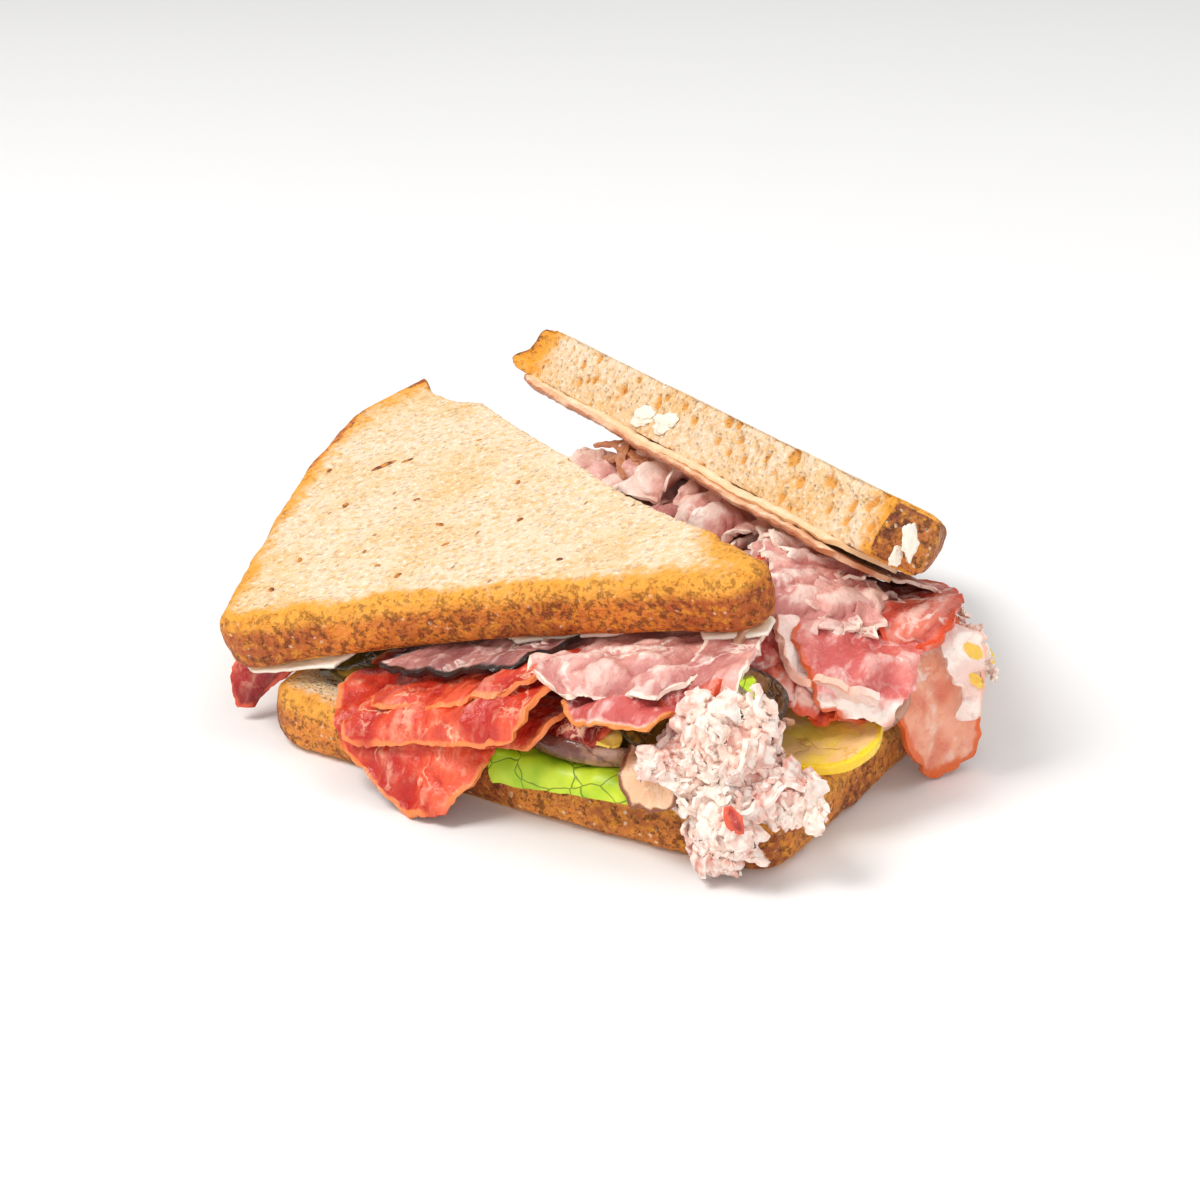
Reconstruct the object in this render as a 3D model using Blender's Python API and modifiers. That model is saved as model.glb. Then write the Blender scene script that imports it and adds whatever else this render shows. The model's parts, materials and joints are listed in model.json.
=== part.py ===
"""A club sandwich cut on the diagonal: two bottom slices of bread side by side, two tilted top slices, and
the folded meat, salad and shredded chicken between them.

Lengths are in millimetres in the tables and turned to metres by MM. The tables' frame has its origin at the
left corner of the bottom bread, X along its front crust and Y along its left crust; the finished sandwich is
then moved so that the origin is at the middle of its base.
"""

import math
from dataclasses import dataclass, field

import bmesh
import bpy
from mathutils import Matrix, Vector, noise
from mathutils.bvhtree import BVHTree

MM = 0.001

# Driving dimensions of the loaf slice, in millimetres.
SLICE_LONG = 133.0
SLICE_DEEP = 123.0
SLICE_THICK = 14.0
CUT_OFFSET = 13.0
HALF_GAP = 2.6
CRUST_ROUND = 2.4
CUT_ROUND = 0.6
CLEARANCE = 0.45
SECOND_CLEARANCE = 0.15
MOST_SHEET_FACES = 290
MOST_FACES = {"chicken_front": 1150, "chicken_side": 420}

# Poses of the two top slices: where the underside's square corner lies, and which way the slice faces.
LEFT_TOP_CORNER = Vector((-9.0, 6.0, 15.6))
LEFT_TOP_NORMAL = Vector((-0.20, -0.22, 0.955))
LEFT_TOP_LONG = Vector((0.96, 0.14, 0.23))
RIGHT_TOP_CORNER = Vector((109.4, 159.3, 3.6))
RIGHT_TOP_NORMAL = Vector((0.247, 0.453, 0.857))
RIGHT_TOP_LONG = Vector((-0.934, -0.130, 0.333))

# The right top slice's cut edge: a point at its far end and its direction, seen from above.
CUT_START = Vector((-15.0, 142.0, 0.0))
CUT_ALONG = Vector((0.865, -0.5, 0.0))
CUT_OUT = Vector((-0.5, -0.865, 0.0))

MATERIALS = {
    "bread": ((0.80, 0.55, 0.27), 0.85),
    "mayonnaise": ((0.93, 0.89, 0.78), 0.35),
    "lettuce": ((0.30, 0.55, 0.06), 0.40),
    "onion": ((0.36, 0.20, 0.17), 0.35),
    "pickle": ((0.35, 0.27, 0.03), 0.30),
    "pepper": ((0.72, 0.47, 0.04), 0.30),
    "salami": ((0.66, 0.13, 0.07), 0.40),
    "beef": ((0.62, 0.30, 0.29), 0.45),
    "ham": ((0.76, 0.36, 0.34), 0.40),
    "turkey": ((0.80, 0.56, 0.38), 0.50),
    "cheese": ((0.86, 0.66, 0.42), 0.45),
    "chicken": ((0.87, 0.68, 0.62), 0.50),
}


@dataclass
class Sheet:
    """A thin slice: a path from inside the sandwich to its free end, with its width and its waves."""

    name: str
    material: str
    path: list
    half_widths: list
    side: tuple
    tip_side: tuple = None
    thick: float = 1.5
    wave: float = 0.8
    wave_length: float = 24.0
    phase: float = 0.0
    cup: float = 0.0
    round_power: float = 3.5
    cells: tuple = (7, 6)
    seed: float = 1.0
    ragged: float = 0.8


def beside_cut(along, out, height):
    """A point given by its place along the right top slice's cut edge, how far out of it, and its height."""
    place = CUT_START + CUT_ALONG * along + CUT_OUT * out
    return (place.x, place.y, height)


def under_right_top(along, out, drop):
    """A point beside the cut edge, the given drop below the right top slice's underside."""
    x, y, _ = beside_cut(along, out, 0)
    normal = RIGHT_TOP_NORMAL
    away = normal.x * (x - RIGHT_TOP_CORNER.x) + normal.y * (y - RIGHT_TOP_CORNER.y)
    return (x, y, RIGHT_TOP_CORNER.z - away / normal.z - drop)


def smooth_path(points, count):
    """Points read at even steps of arc length from a smooth curve through the given points."""
    knots = [Vector(p) for p in points]
    padded = [2 * knots[0] - knots[1]] + knots + [2 * knots[-1] - knots[-2]]
    fine = []
    steps = 12
    for a, b, c, d in zip(padded, padded[1:], padded[2:], padded[3:]):
        for k in range(steps):
            t = k / steps
            fine.append(
                0.5 * (2 * b + (c - a) * t + (2 * a - 5 * b + 4 * c - d) * t**2 + (3 * b - a - 3 * c + d) * t**3)
            )
    fine.append(knots[-1])
    reach = [0.0]
    for p, q in zip(fine, fine[1:]):
        reach.append(reach[-1] + (q - p).length)
    found = []
    place = 0
    for k in range(count):
        wanted = reach[-1] * k / (count - 1)
        while place < len(reach) - 2 and reach[place + 1] < wanted:
            place += 1
        share = (wanted - reach[place]) / max(reach[place + 1] - reach[place], 1e-9)
        found.append(fine[place].lerp(fine[place + 1], min(max(share, 0.0), 1.0)))
    return found


def read_between(values, share):
    """The value at a share, 0 to 1, of the way through a list, by straight interpolation."""
    place = min(max(share, 0.0), 1.0) * (len(values) - 1)
    low = min(int(place), len(values) - 2)
    return values[low] + (values[low + 1] - values[low]) * (place - low)


def rough(x, y, z, size):
    """Smooth noise between -1 and 1 that varies over about the given size."""
    return noise.noise(Vector((x / size, y / size, z / size)))


def sheet_point(sheet, line, s, b):
    """The place in millimetres of the point at s along a sheet and b across it, both from -1 to 1."""
    share = (s + 1) / 2
    place = share * (len(line) - 1)
    low = min(int(place), len(line) - 2)
    centre = line[low].lerp(line[low + 1], place - low)
    ahead = (line[min(low + 2, len(line) - 1)] - line[max(low - 1, 0)]).normalized()
    side = Vector(sheet.side).normalized()
    if sheet.tip_side:
        side = side.lerp(Vector(sheet.tip_side).normalized(), share).normalized()
    face = ahead.cross(side).normalized()
    side = face.cross(ahead).normalized() * 0.5 + side * 0.5
    width = read_between(sheet.half_widths, share)
    ends = (1 - abs(0.96 * s) ** sheet.round_power) ** (1 / sheet.round_power)
    across = b * width * ends
    free = 0.25 + 0.75 * share
    place = centre + side * across
    ripple = math.sin(CUT_ALONG.dot(place) * math.tau / sheet.wave_length + sheet.phase) * sheet.wave * free
    ripple += rough(place.x, place.y, 0.0, 11.0) * sheet.wave * free
    ripple -= sheet.cup * b * b * free
    rim = max(abs(b), share) ** 4
    tear = rough(across * 1.7, 50 * share, 7.7 * sheet.seed, 5.0) * sheet.ragged * rim
    return centre + side * (across + tear * (1 if b > 0 else -1)) + face * ripple + ahead * tear


def material(name):
    """The plain material of one food, made once."""
    found = bpy.data.materials.get(name)
    if found:
        return found
    colour, roughness = MATERIALS[name]
    made = bpy.data.materials.new(name)
    made.use_nodes = True
    shader = made.node_tree.nodes["Principled BSDF"]
    shader.inputs["Base Color"].default_value = (*colour, 1.0)
    shader.inputs["Roughness"].default_value = roughness
    shader.inputs["Metallic"].default_value = 0.0
    made.diffuse_color = (*colour, 1.0)
    return made


def finish_object(obj, name, material_name):
    """Names an object and gives it its material."""
    obj.name = name
    obj.data.name = name
    obj.data.materials.clear()
    obj.data.materials.append(material(material_name))
    return obj


def make_sheet(sheet):
    """One slice of meat, leaf or cheese: a grid laid along its path and given its thickness."""
    bpy.ops.mesh.primitive_grid_add(x_subdivisions=sheet.cells[0], y_subdivisions=sheet.cells[1], size=2)
    obj = bpy.context.object
    line = smooth_path(sheet.path, 4 * len(sheet.path))
    for vertex in obj.data.vertices:
        vertex.co = sheet_point(sheet, line, vertex.co.x, vertex.co.y) * MM
    triangles = obj.modifiers.new("triangles", "TRIANGULATE")
    triangles.quad_method = "FIXED"
    wall = obj.modifiers.new("thickness", "SOLIDIFY")
    wall.thickness = sheet.thick * MM
    wall.offset = 0.0
    return finish_object(obj, sheet.name, sheet.material)


def loft(name, rings, fan=True):
    """A closed mesh through rings of the same count, with a fan or one flat face at each end."""
    mesh = bmesh.new()
    rows = [[mesh.verts.new(Vector(p) * MM) for p in ring] for ring in rings]
    count = len(rings[0])
    for low, high in zip(rows, rows[1:]):
        for k in range(count):
            mesh.faces.new((low[k], low[(k + 1) % count], high[(k + 1) % count], high[k]))
    for row in (rows[0], rows[-1]):
        if not fan:
            mesh.faces.new(row)
            continue
        middle = mesh.verts.new(sum((v.co for v in row), Vector()) / count)
        for k in range(count):
            mesh.faces.new((row[k], row[(k + 1) % count], middle))
    bmesh.ops.recalc_face_normals(mesh, faces=mesh.faces)
    data = bpy.data.meshes.new(name)
    mesh.to_mesh(data)
    mesh.free()
    obj = bpy.data.objects.new(name, data)
    bpy.context.scene.collection.objects.link(obj)
    return obj


def rounded_outline(corners, spacing):
    """Points round a polygon, given as (x, y, corner radius, bulge of the side that follows, crust or not).

    Each point comes with 1.0 on a crust side and 0.0 on a cut side.
    """
    count = len(corners)
    arcs = []
    for k, (x, y, radius, _, _) in enumerate(corners):
        if not radius:
            arcs.append([Vector((x, y))])
            continue
        before = Vector(corners[k - 1][:2])
        after = Vector(corners[(k + 1) % count][:2])
        here = Vector((x, y))
        back = (before - here).normalized()
        on = (after - here).normalized()
        half = back.angle(on) / 2
        reach = radius / math.tan(half)
        centre = here + (back + on).normalized() * (radius / math.sin(half))
        start = here + back * reach - centre
        turn = math.pi - 2 * half
        steps = max(2, round(2.2 * turn * radius / spacing))
        arcs.append([centre + Matrix.Rotation(turn * i / steps, 2) @ start for i in range(steps + 1)])
    points = []
    for k, arc in enumerate(arcs):
        crust_here = corners[k][4]
        crust_before = corners[k - 1][4]
        for i, p in enumerate(arc):
            share = i / (len(arc) - 1) if len(arc) > 1 else 0.5
            points.append((p, 1.0 if crust_before and share <= 0.5 or crust_here and share >= 0.5 else 0.0))
        end = arcs[(k + 1) % count][0]
        length = (end - arc[-1]).length
        steps = max(1, round(length / spacing))
        outward = Vector(((end - arc[-1]).y, -(end - arc[-1]).x)).normalized()
        for i in range(1, steps):
            share = i / steps
            bulge = corners[k][3] * 4 * share * (1 - share)
            points.append((arc[-1].lerp(end, share) + outward * bulge, 1.0 if crust_here else 0.0))
    least = 0.12 * spacing
    return [p for k, p in enumerate(points) if (p[0] - points[k - 1][0]).length > least]


def inset(outline, distances):
    """The outline's points moved inwards, each by its own distance."""
    count = len(outline)
    moved = []
    for k in range(count):
        ahead = (outline[(k + 1) % count] - outline[k - 1]).normalized()
        moved.append(outline[k] + Vector((-ahead.y, ahead.x)) * distances[k])
    return moved


def slab_rings(corners, low, high, spacing, seed, relief=0.35, lean=0.0):
    """Rings from the underside's middle, round the sides, to the top's middle of a slice of bread or cheese.

    Args: corners as rounded_outline takes them, the heights of the two faces, the spacing of points round
    it, a seed for its unevenness, how deep that is, and how far the cut face's top leans back.
    """
    marked = rounded_outline(corners, spacing)
    outline = [p for p, _ in marked]
    crusts = [c for _, c in marked]
    middle = sum(outline, Vector((0, 0))) / len(outline)
    thick = high - low
    rings = []

    def ring(insets, height, share, swell):
        moved = inset(outline, insets)
        row = []
        for k, p in enumerate(moved):
            q = middle.lerp(p, share)
            wobble = rough(q.x + 17 * seed, q.y, height, 7.0) * relief
            wave = rough(q.x, q.y + 31 * seed, 0, 34.0) * relief * 2.2
            out = (q - middle).normalized() * (wobble * 1.5 * crusts[k] + swell * crusts[k])
            back = (1 - crusts[k]) * lean * (height - low) / thick * share
            out -= (q - middle).normalized() * back
            row.append((q.x + out.x, q.y + out.y, height + wobble * 0.6 + (wave if height > low else 0)))
        return row

    rounding = [CRUST_ROUND * c + CUT_ROUND * (1 - c) for c in crusts]
    rounding = [min(r, 0.3 * thick) for r in rounding]
    none = [0.0] * len(outline)
    edge = sum(rounding) / len(rounding)
    rings.append(ring(rounding, low, 0.45, 0))
    rings.append(ring(rounding, low, 1.0, 0))
    rings.append(ring(none, low + edge, 1.0, 0))
    if thick > 6:
        rings.append(ring(none, (low + high) / 2, 1.0, 0.9))
    rings.append(ring(none, high - edge, 1.0, 0))
    rings.append(ring(rounding, high, 1.0, 0))
    if thick > 6:
        rings.append(ring(rounding, high, 0.86, 0))
    rings.append(ring(rounding, high, 0.5, 0))
    return rings


def frame_matrix(corner, long_way, normal):
    """The matrix that stands a slab in its frame on a corner, facing the way given."""
    up = normal.normalized()
    across = up.cross(long_way).normalized()
    along = across.cross(up).normalized()
    turn = Matrix((along, across, up)).transposed().to_4x4()
    return Matrix.Translation(corner * MM) @ turn


def bottom_left_corners():
    """The left half of the bottom slice, counter-clockwise from its square corner."""
    run = SLICE_LONG - CUT_OFFSET - HALF_GAP / 2
    rise = SLICE_DEEP - 1.0
    return [(0, 0, 12, 0.8, True), (run, 0, 0, 0.0, False), (1.5, rise, 0, 2.5, True)]


def bottom_right_corners():
    """The right half of the bottom slice, which keeps the blunt front corner."""
    start = SLICE_LONG - CUT_OFFSET + HALF_GAP / 2
    return [
        (start, 0, 0, 0.0, True),
        (SLICE_LONG, 0, 9, 0.8, True),
        (SLICE_LONG, SLICE_DEEP, 16, 0.8, True),
        (4.5, SLICE_DEEP, 0, 0.0, False),
    ]


def top_left_corners():
    """The left top slice in its own frame: origin at the square corner, X towards the front corner."""
    return [
        (-1, -4.5, 9, -5.0, True),
        (132, -5, 8, 0.0, True),
        (134.5, 4, 4, 0.0, True),
        (120.5, 16, 0, -2.2, False),
        (66, 62.5, 0, -0.6, False),
        (27, 99.5, 0, 0.0, False),
        (19, 101.5, 0, 0.0, False),
        (8.5, 109, 0, 0.0, False),
        (0.5, 121, 0, 0.0, True),
        (-13.5, 103, 13, 0.0, True),
        (-13.5, 70, 38, 0.0, True),
    ]


def top_right_corners():
    """The right top slice in its own frame: origin at the hidden square corner, X towards the far end."""
    return [
        (12, 1, 19, 0.8, True),
        (SLICE_LONG + 2, -0.5, 0, 0.0, False),
        (12, SLICE_DEEP, 0, 0.0, True),
        (1, SLICE_DEEP, 0, 0.0, True),
    ]


def make_breads():
    """The four half slices of bread."""
    left = loft("bread_bottom_left", slab_rings(bottom_left_corners(), 0, SLICE_THICK, 14, 1.0))
    right = loft("bread_bottom_right", slab_rings(bottom_right_corners(), 0, SLICE_THICK, 14, 2.0))
    top_left = loft("bread_top_left", slab_rings(top_left_corners(), 0, SLICE_THICK, 13, 3.0, 0.45))
    top_left.matrix_world = frame_matrix(LEFT_TOP_CORNER, LEFT_TOP_LONG, LEFT_TOP_NORMAL)
    top_right = loft("bread_top_right", slab_rings(top_right_corners(), 0, SLICE_THICK, 13, 4.0, 0.4, 1.5))
    top_right.matrix_world = frame_matrix(RIGHT_TOP_CORNER, RIGHT_TOP_LONG, RIGHT_TOP_NORMAL)
    flatten_base(left)
    flatten_base(right)
    return [finish_object(bread, bread.name, "bread") for bread in (left, right, top_left, top_right)]


def flatten_base(obj):
    """Sets the underside's points to the table's height, so that the bread rests flat."""
    for vertex in obj.data.vertices:
        if vertex.co.z < 0.6 * MM:
            vertex.co.z = 0.0


def make_mayonnaise():
    """The mayonnaise under the left top slice, which shows at its left, its middle and its front corner."""
    edge = [
        (3, -3.2), (15, -3.4), (26, -2.4), (31, 5), (48, 6), (66, 7), (72, 1.4), (84, 2.2), (97, 1.2),
        (101, 7), (113, 6), (118, -2.6), (127, -4.2), (132, -2.6), (133, 3), (127, 9), (118, 16),
        (98, 30), (64, 62), (26, 97), (4, 113), (-9, 100), (-9, 70), (-3, 30), (-1, 4),
    ]
    rings = [[(x, y, height) for x, y in edge] for height in (-1.4, -CLEARANCE)]
    spread = loft("mayonnaise", rings, fan=False)
    spread.matrix_world = frame_matrix(LEFT_TOP_CORNER, LEFT_TOP_LONG, LEFT_TOP_NORMAL)
    return finish_object(spread, "mayonnaise", "mayonnaise")


def make_disc(name, food, centre, radius, normal, thick=3.0, bend=0.8, squash=1.0):
    """A round slice of pickle or pepper, slightly bent, lying the way its normal says."""
    count = 13
    rows = ((0.45, -0.5), (0.96, -0.5), (1.0, 0.0), (0.96, 0.5), (0.45, 0.5))
    rings = []
    for share, level in rows:
        ring = []
        for k in range(count):
            angle = math.tau * k / count
            x = math.cos(angle) * radius * share
            y = math.sin(angle) * radius * share * squash
            wobble = 1 + 0.04 * math.sin(3 * angle + radius)
            height = level * thick + bend * math.cos(2 * angle) * share
            ring.append((x * wobble, y * wobble, height))
        rings.append(ring)
    disc = loft(name, rings)
    disc.matrix_world = frame_matrix(Vector(centre), Vector((1, 0.2, 0)), Vector(normal))
    return finish_object(disc, name, food)


def make_onion(name, centre, radius, first, last, normal, wall=2.4, height=4.2):
    """A piece of an onion ring: an oval section carried round part of a circle."""
    steps = 10
    section = 6
    rings = []
    for i in range(steps + 1):
        share = i / steps
        angle = math.radians(first + (last - first) * share)
        fade = 0.55 + 0.45 * math.sin(math.pi * share) ** 0.5
        ring = []
        for k in range(section):
            turn = math.tau * k / section
            reach = radius + math.cos(turn) * wall / 2 * fade
            rise = math.sin(turn) * height / 2 * fade + 0.6 * math.sin(3 * angle)
            ring.append((math.cos(angle) * reach, math.sin(angle) * reach, rise))
        rings.append(ring)
    piece = loft(name, rings)
    piece.matrix_world = frame_matrix(Vector(centre), Vector((1, 0, 0)), Vector(normal))
    return finish_object(piece, name, "onion")


def ellipsoid(centre, radii, seed, detail=2):
    """A lumpy ball in a heap's core."""
    bpy.ops.mesh.primitive_ico_sphere_add(subdivisions=detail, radius=1.0)
    ball = bpy.context.object
    for vertex in ball.data.vertices:
        p = vertex.co.copy()
        swell = 1 + 0.22 * rough(p.x + seed, p.y, p.z, 0.6)
        vertex.co = (Vector(centre) + Vector((p.x * radii[0], p.y * radii[1], p.z * radii[2])) * swell) * MM
    return ball


def flake(centre, away, seed):
    """A torn flake of meat that lies on a heap and stands out of it at one end."""
    bpy.ops.mesh.primitive_cube_add(size=1)
    piece = bpy.context.object
    length = 9.5 + 3.0 * math.sin(seed * 5.1)
    width = 4.6 + 1.2 * math.sin(seed * 3.7)
    along = (Vector(away).cross(Vector((0.3, 0.2, 1))).normalized() * math.cos(seed * 2.4) + Vector((0, 0, -1))
             + Vector(away) * 0.55).normalized()
    turn = along.to_track_quat("X", "Z").to_matrix()
    for vertex in piece.data.vertices:
        taper = 0.5 if vertex.co.x > 0 else 1.0
        p = Vector((vertex.co.x * length, vertex.co.y * width * taper, vertex.co.z * 2.4 * taper))
        vertex.co = (Vector(centre) + turn @ p) * MM
    return piece


def move_to(obj, group):
    """Takes an object out of its collections and puts it in another."""
    for old in list(obj.users_collection):
        old.objects.unlink(obj)
    group.objects.link(obj)


def make_heap(name, food, balls, flakes, seed):
    """A heap of shredded meat: lumpy balls with torn flakes standing out, joined by one union."""
    parts = bpy.data.collections.new(name + "_parts")
    bpy.context.scene.collection.children.link(parts)
    pieces = [ellipsoid(centre, radii, seed + i) for i, (centre, radii) in enumerate(balls)]
    for i in range(flakes):
        centre, radii = balls[i % len(balls)]
        turn = i * 2.39996 + seed
        rise = -0.35 + 1.25 * ((i * 0.618) % 1.0)
        flat = math.sqrt(max(0.05, 1 - min(rise, 0.97) ** 2))
        away = Vector((math.cos(turn) * flat, math.sin(turn) * flat, rise)).normalized()
        spot = Vector(centre) + Vector((away.x * radii[0], away.y * radii[1], away.z * radii[2]))
        pieces.append(flake(spot, away, seed + 0.7 * i))
    heap = pieces[0]
    for piece in pieces[1:]:
        move_to(piece, parts)
    union = heap.modifiers.new("union", "BOOLEAN")
    union.operation = "UNION"
    union.operand_type = "COLLECTION"
    union.collection = parts
    union.solver = "MANIFOLD"
    apply_modifiers(heap)
    for piece in list(parts.objects):
        bpy.data.objects.remove(piece)
    bpy.data.collections.remove(parts)
    return finish_object(heap, name, food)


def apply_modifiers(obj):
    """Replaces an object's mesh with the evaluated one."""
    bpy.context.view_layer.update()
    evaluated = obj.evaluated_get(bpy.context.evaluated_depsgraph_get())
    data = bpy.data.meshes.new_from_object(evaluated)
    obj.modifiers.clear()
    obj.data = data


def world_tree(obj):
    """A search tree of the object's faces where they stand."""
    mesh = bmesh.new()
    mesh.from_mesh(obj.data)
    mesh.transform(obj.matrix_world)
    tree = BVHTree.FromBMesh(mesh)
    mesh.free()
    return tree


def world_box(obj):
    """Lowest and highest corner of an object."""
    points = [obj.matrix_world @ v.co for v in obj.data.vertices]
    low = Vector(min(p[i] for p in points) for i in range(3))
    high = Vector(max(p[i] for p in points) for i in range(3))
    return low, high


def swollen_copy(obj, room):
    """A copy grown by the room given in millimetres, which cuts room for the original out of a neighbour."""
    copy = obj.copy()
    copy.data = obj.data.copy()
    bpy.context.scene.collection.objects.link(copy)
    mesh = bmesh.new()
    mesh.from_mesh(copy.data)
    bmesh.ops.recalc_face_normals(mesh, faces=mesh.faces)
    mesh.normal_update()
    for vertex in mesh.verts:
        vertex.co += vertex.normal * room * MM
    mesh.to_mesh(copy.data)
    mesh.free()
    copy.hide_render = True
    copy.display_type = "WIRE"
    return copy


def keep_largest(obj):
    """Drops the scraps that a cut left loose, and keeps the largest piece."""
    mesh = bmesh.new()
    mesh.from_mesh(obj.data)
    left = set(mesh.verts)
    islands = []
    while left:
        stack = [left.pop()]
        island = set(stack)
        while stack:
            for edge in stack.pop().link_edges:
                for vertex in edge.verts:
                    if vertex not in island:
                        island.add(vertex)
                        left.discard(vertex)
                        stack.append(vertex)
        islands.append(island)
    islands.sort(key=lambda island: sum(f.calc_area() for v in island for f in v.link_faces), reverse=True)
    scraps = [v for island in islands[1:] for v in island]
    bmesh.ops.delete(mesh, geom=scraps, context="VERTS")
    mesh.to_mesh(obj.data)
    mesh.free()


def is_sound(mesh):
    """True where a mesh is closed and doesn't cross itself."""
    if not all(edge.is_manifold for edge in mesh.edges):
        return False
    mesh.faces.ensure_lookup_table()
    tree = BVHTree.FromBMesh(mesh)
    for first, second in tree.overlap(tree):
        if first < second and not set(mesh.faces[first].verts) & set(mesh.faces[second].verts):
            return False
    return True


def smooth_cut(obj):
    """Melts the slivers that a cut leaves, as long as the mesh stays sound."""
    mesh = bmesh.new()
    mesh.from_mesh(obj.data)
    bmesh.ops.remove_doubles(mesh, verts=mesh.verts, dist=0.02 * MM)
    bmesh.ops.dissolve_degenerate(mesh, edges=mesh.edges, dist=0.01 * MM)
    bmesh.ops.dissolve_limit(mesh, angle_limit=math.radians(1.5), verts=mesh.verts, edges=mesh.edges)
    bmesh.ops.triangulate(mesh, faces=mesh.faces)
    if is_sound(mesh):
        mesh.to_mesh(obj.data)
    mesh.free()


def simplify(obj, most):
    """Brings the object's faces down to about the number given, as long as the mesh stays sound."""
    faces = sum(len(face.vertices) - 2 for face in obj.data.polygons)
    for share in (1.0, 1.3, 1.7):
        if faces <= most * share:
            return
        whole = obj.data.copy()
        corners = obj.modifiers.new("triangles", "TRIANGULATE")
        corners.quad_method = "FIXED"
        fewer = obj.modifiers.new("fewer", "DECIMATE")
        fewer.ratio = most * share / faces
        apply_modifiers(obj)
        mesh = bmesh.new()
        mesh.from_mesh(obj.data)
        sound = is_sound(mesh)
        mesh.free()
        if sound:
            return
        obj.data = whole


def clear_of(obj, others, room, smooth):
    """Cuts the object clear of the pieces placed before it, leaving the room given in millimetres."""
    low, high = world_box(obj)
    grow = Vector((1, 1, 1)) * room * MM
    for other in others:
        other_low, other_high = world_box(other)
        if any(low[i] - grow[i] > other_high[i] or high[i] + grow[i] < other_low[i] for i in range(3)):
            continue
        cutter = swollen_copy(other, room)
        bpy.context.view_layer.update()
        if world_tree(obj).overlap(world_tree(cutter)):
            cut = obj.modifiers.new("clearance", "BOOLEAN")
            cut.operation = "DIFFERENCE"
            cut.object = cutter
            cut.solver = "MANIFOLD"
            apply_modifiers(obj)
            keep_largest(obj)
            if smooth:
                smooth_cut(obj)
        bpy.data.objects.remove(cutter)


def left_half_sheets():
    """The slices that show at the front of the left half, from the leaf up."""
    return [
        Sheet("lettuce", "lettuce", [(84, 38, 16.3), (85, 20, 16), (86, 6, 16.2), (86.5, -1, 16.6), (87, -4.3, 15),
              (87, -5.9, 11), (87, -6.2, 7.5)], [16, 19, 20, 20.5, 21, 21, 20], (1, 0, 0.0), thick=1.3, wave=0.35,
              wave_length=20, ragged=0.4, round_power=7, cells=(7, 7)),
        Sheet("leaf_left", "pickle", [(30, 56, 17), (22, 34, 17.4), (18, 17, 17.6), (17, 7, 17.2)],
              [16, 15, 11, 9], (0.96, -0.2, 0.02), thick=1.4, wave=0.6, wave_length=30, cells=(5, 5)),
        Sheet("salami_drape", "salami", [(46, 60, 22.5), (47, 35, 20.3), (47, 14, 18.8), (47.5, 2, 18.6),
              (48.5, -5.3, 16), (52, -10, 9), (56, -14, 1.6)], [16, 22, 25, 26, 26, 20, 9], (1, 0, 0.03),
              wave=0.8, wave_length=43, cells=(9, 8), round_power=5),
        Sheet("salami_middle", "salami", [(66, 48, 27), (67, 30, 24.5), (67, 12, 22.8), (67, 2, 23.4), (68, -5, 23.2),
              (69, -8.4, 19)], [12, 17, 18, 18, 18, 16], (0.98, 0, 0.2), wave=0.8, seed=2),
        Sheet("salami_upper", "salami", [(46, 70, 32), (48, 45, 28), (51, 20, 24.6), (53, 8, 24), (54, -3, 24.5),
              (54.5, -9, 22), (55, -10.8, 17)], [18, 26, 30, 31, 31, 30, 28], (1, 0, 0.18), (0.93, 0, 0.37),
              wave=1.0, wave_length=27, cells=(8, 9), seed=3, round_power=5),
        Sheet("beef_dark_edge", "beef", [(54, 55, 36), (53, 35, 31.3), (52, 20, 27.9), (51, 12, 26.8), (51, 5, 26.8),
              (51, 0.5, 25)], [16, 20, 23, 23, 23, 22], (0.97, 0.05, 0.24), wave=0.6, seed=4, round_power=5),
        Sheet("salami_dark", "salami", [(80, 36, 28.5), (82, 22, 26.5), (84, 10, 25.8), (85.5, 2, 25), (86, -2.5, 21)],
              [8, 10, 11, 11, 9], (0.98, 0, 0.2), wave=0.5, cells=(6, 5), seed=5),
        Sheet("bacon", "ham", [(88, 42, 36), (92, 25, 32.5), (94.5, 12, 31.5), (96.5, 3, 32.5), (97.5, -4, 32.5),
              (98.5, -6.5, 29.5)], [10, 14, 15, 15, 15, 14], (0.99, 0.05, 0.03), wave=1.6, wave_length=27, seed=6),
        Sheet("beef_right", "beef", [(103, 34, 39), (106, 22, 37.8), (109, 12, 38.2), (111, 4, 38), (112, 0, 33.5)],
              [6, 8, 9, 9, 8], (0.96, 0.1, 0.25), wave=0.8, cells=(6, 5), seed=7),
        Sheet("beef_wide", "beef", [(82, 45, 41), (86, 27, 37.3), (89.5, 18, 36.8), (92, 8, 38.2), (94, 1, 38.6),
              (96, -3, 34.5)], [14, 20, 22, 23, 22, 18], (0.98, 0.08, 0.17), wave=1.0, wave_length=33, cells=(8, 8), seed=8),
        Sheet("beef_flap", "beef", [(110, 32, 43.5), (112.5, 20, 42.2), (114.5, 12, 42.4), (116, 6, 40.5),
              (117, 3, 34.5)], [5, 6, 7, 7, 5], (0.95, 0.2, 0.2), wave=0.8, cells=(6, 5), seed=9),
        Sheet("beef_left_tip", "salami", [(4, 24, 18), (-3, 16, 15.6), (-7.5, 11.5, 13.2), (-9.5, 9.3, 8.6),
              (-10.5, 8.6, 3.6)], [6, 7.5, 7.5, 6, 2.5], (0.93, 0.35, 0.12), wave=0.7, cells=(6, 5), seed=10),
        Sheet("turkey_piece", "turkey", [(103, 12, 22.5), (105.5, 3, 22), (107.5, -4, 19), (109, -7, 12)],
              [5, 6.5, 7, 6], (0.95, 0.1, 0.1), wave=0.5, cells=(5, 5), seed=11),
    ]


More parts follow.
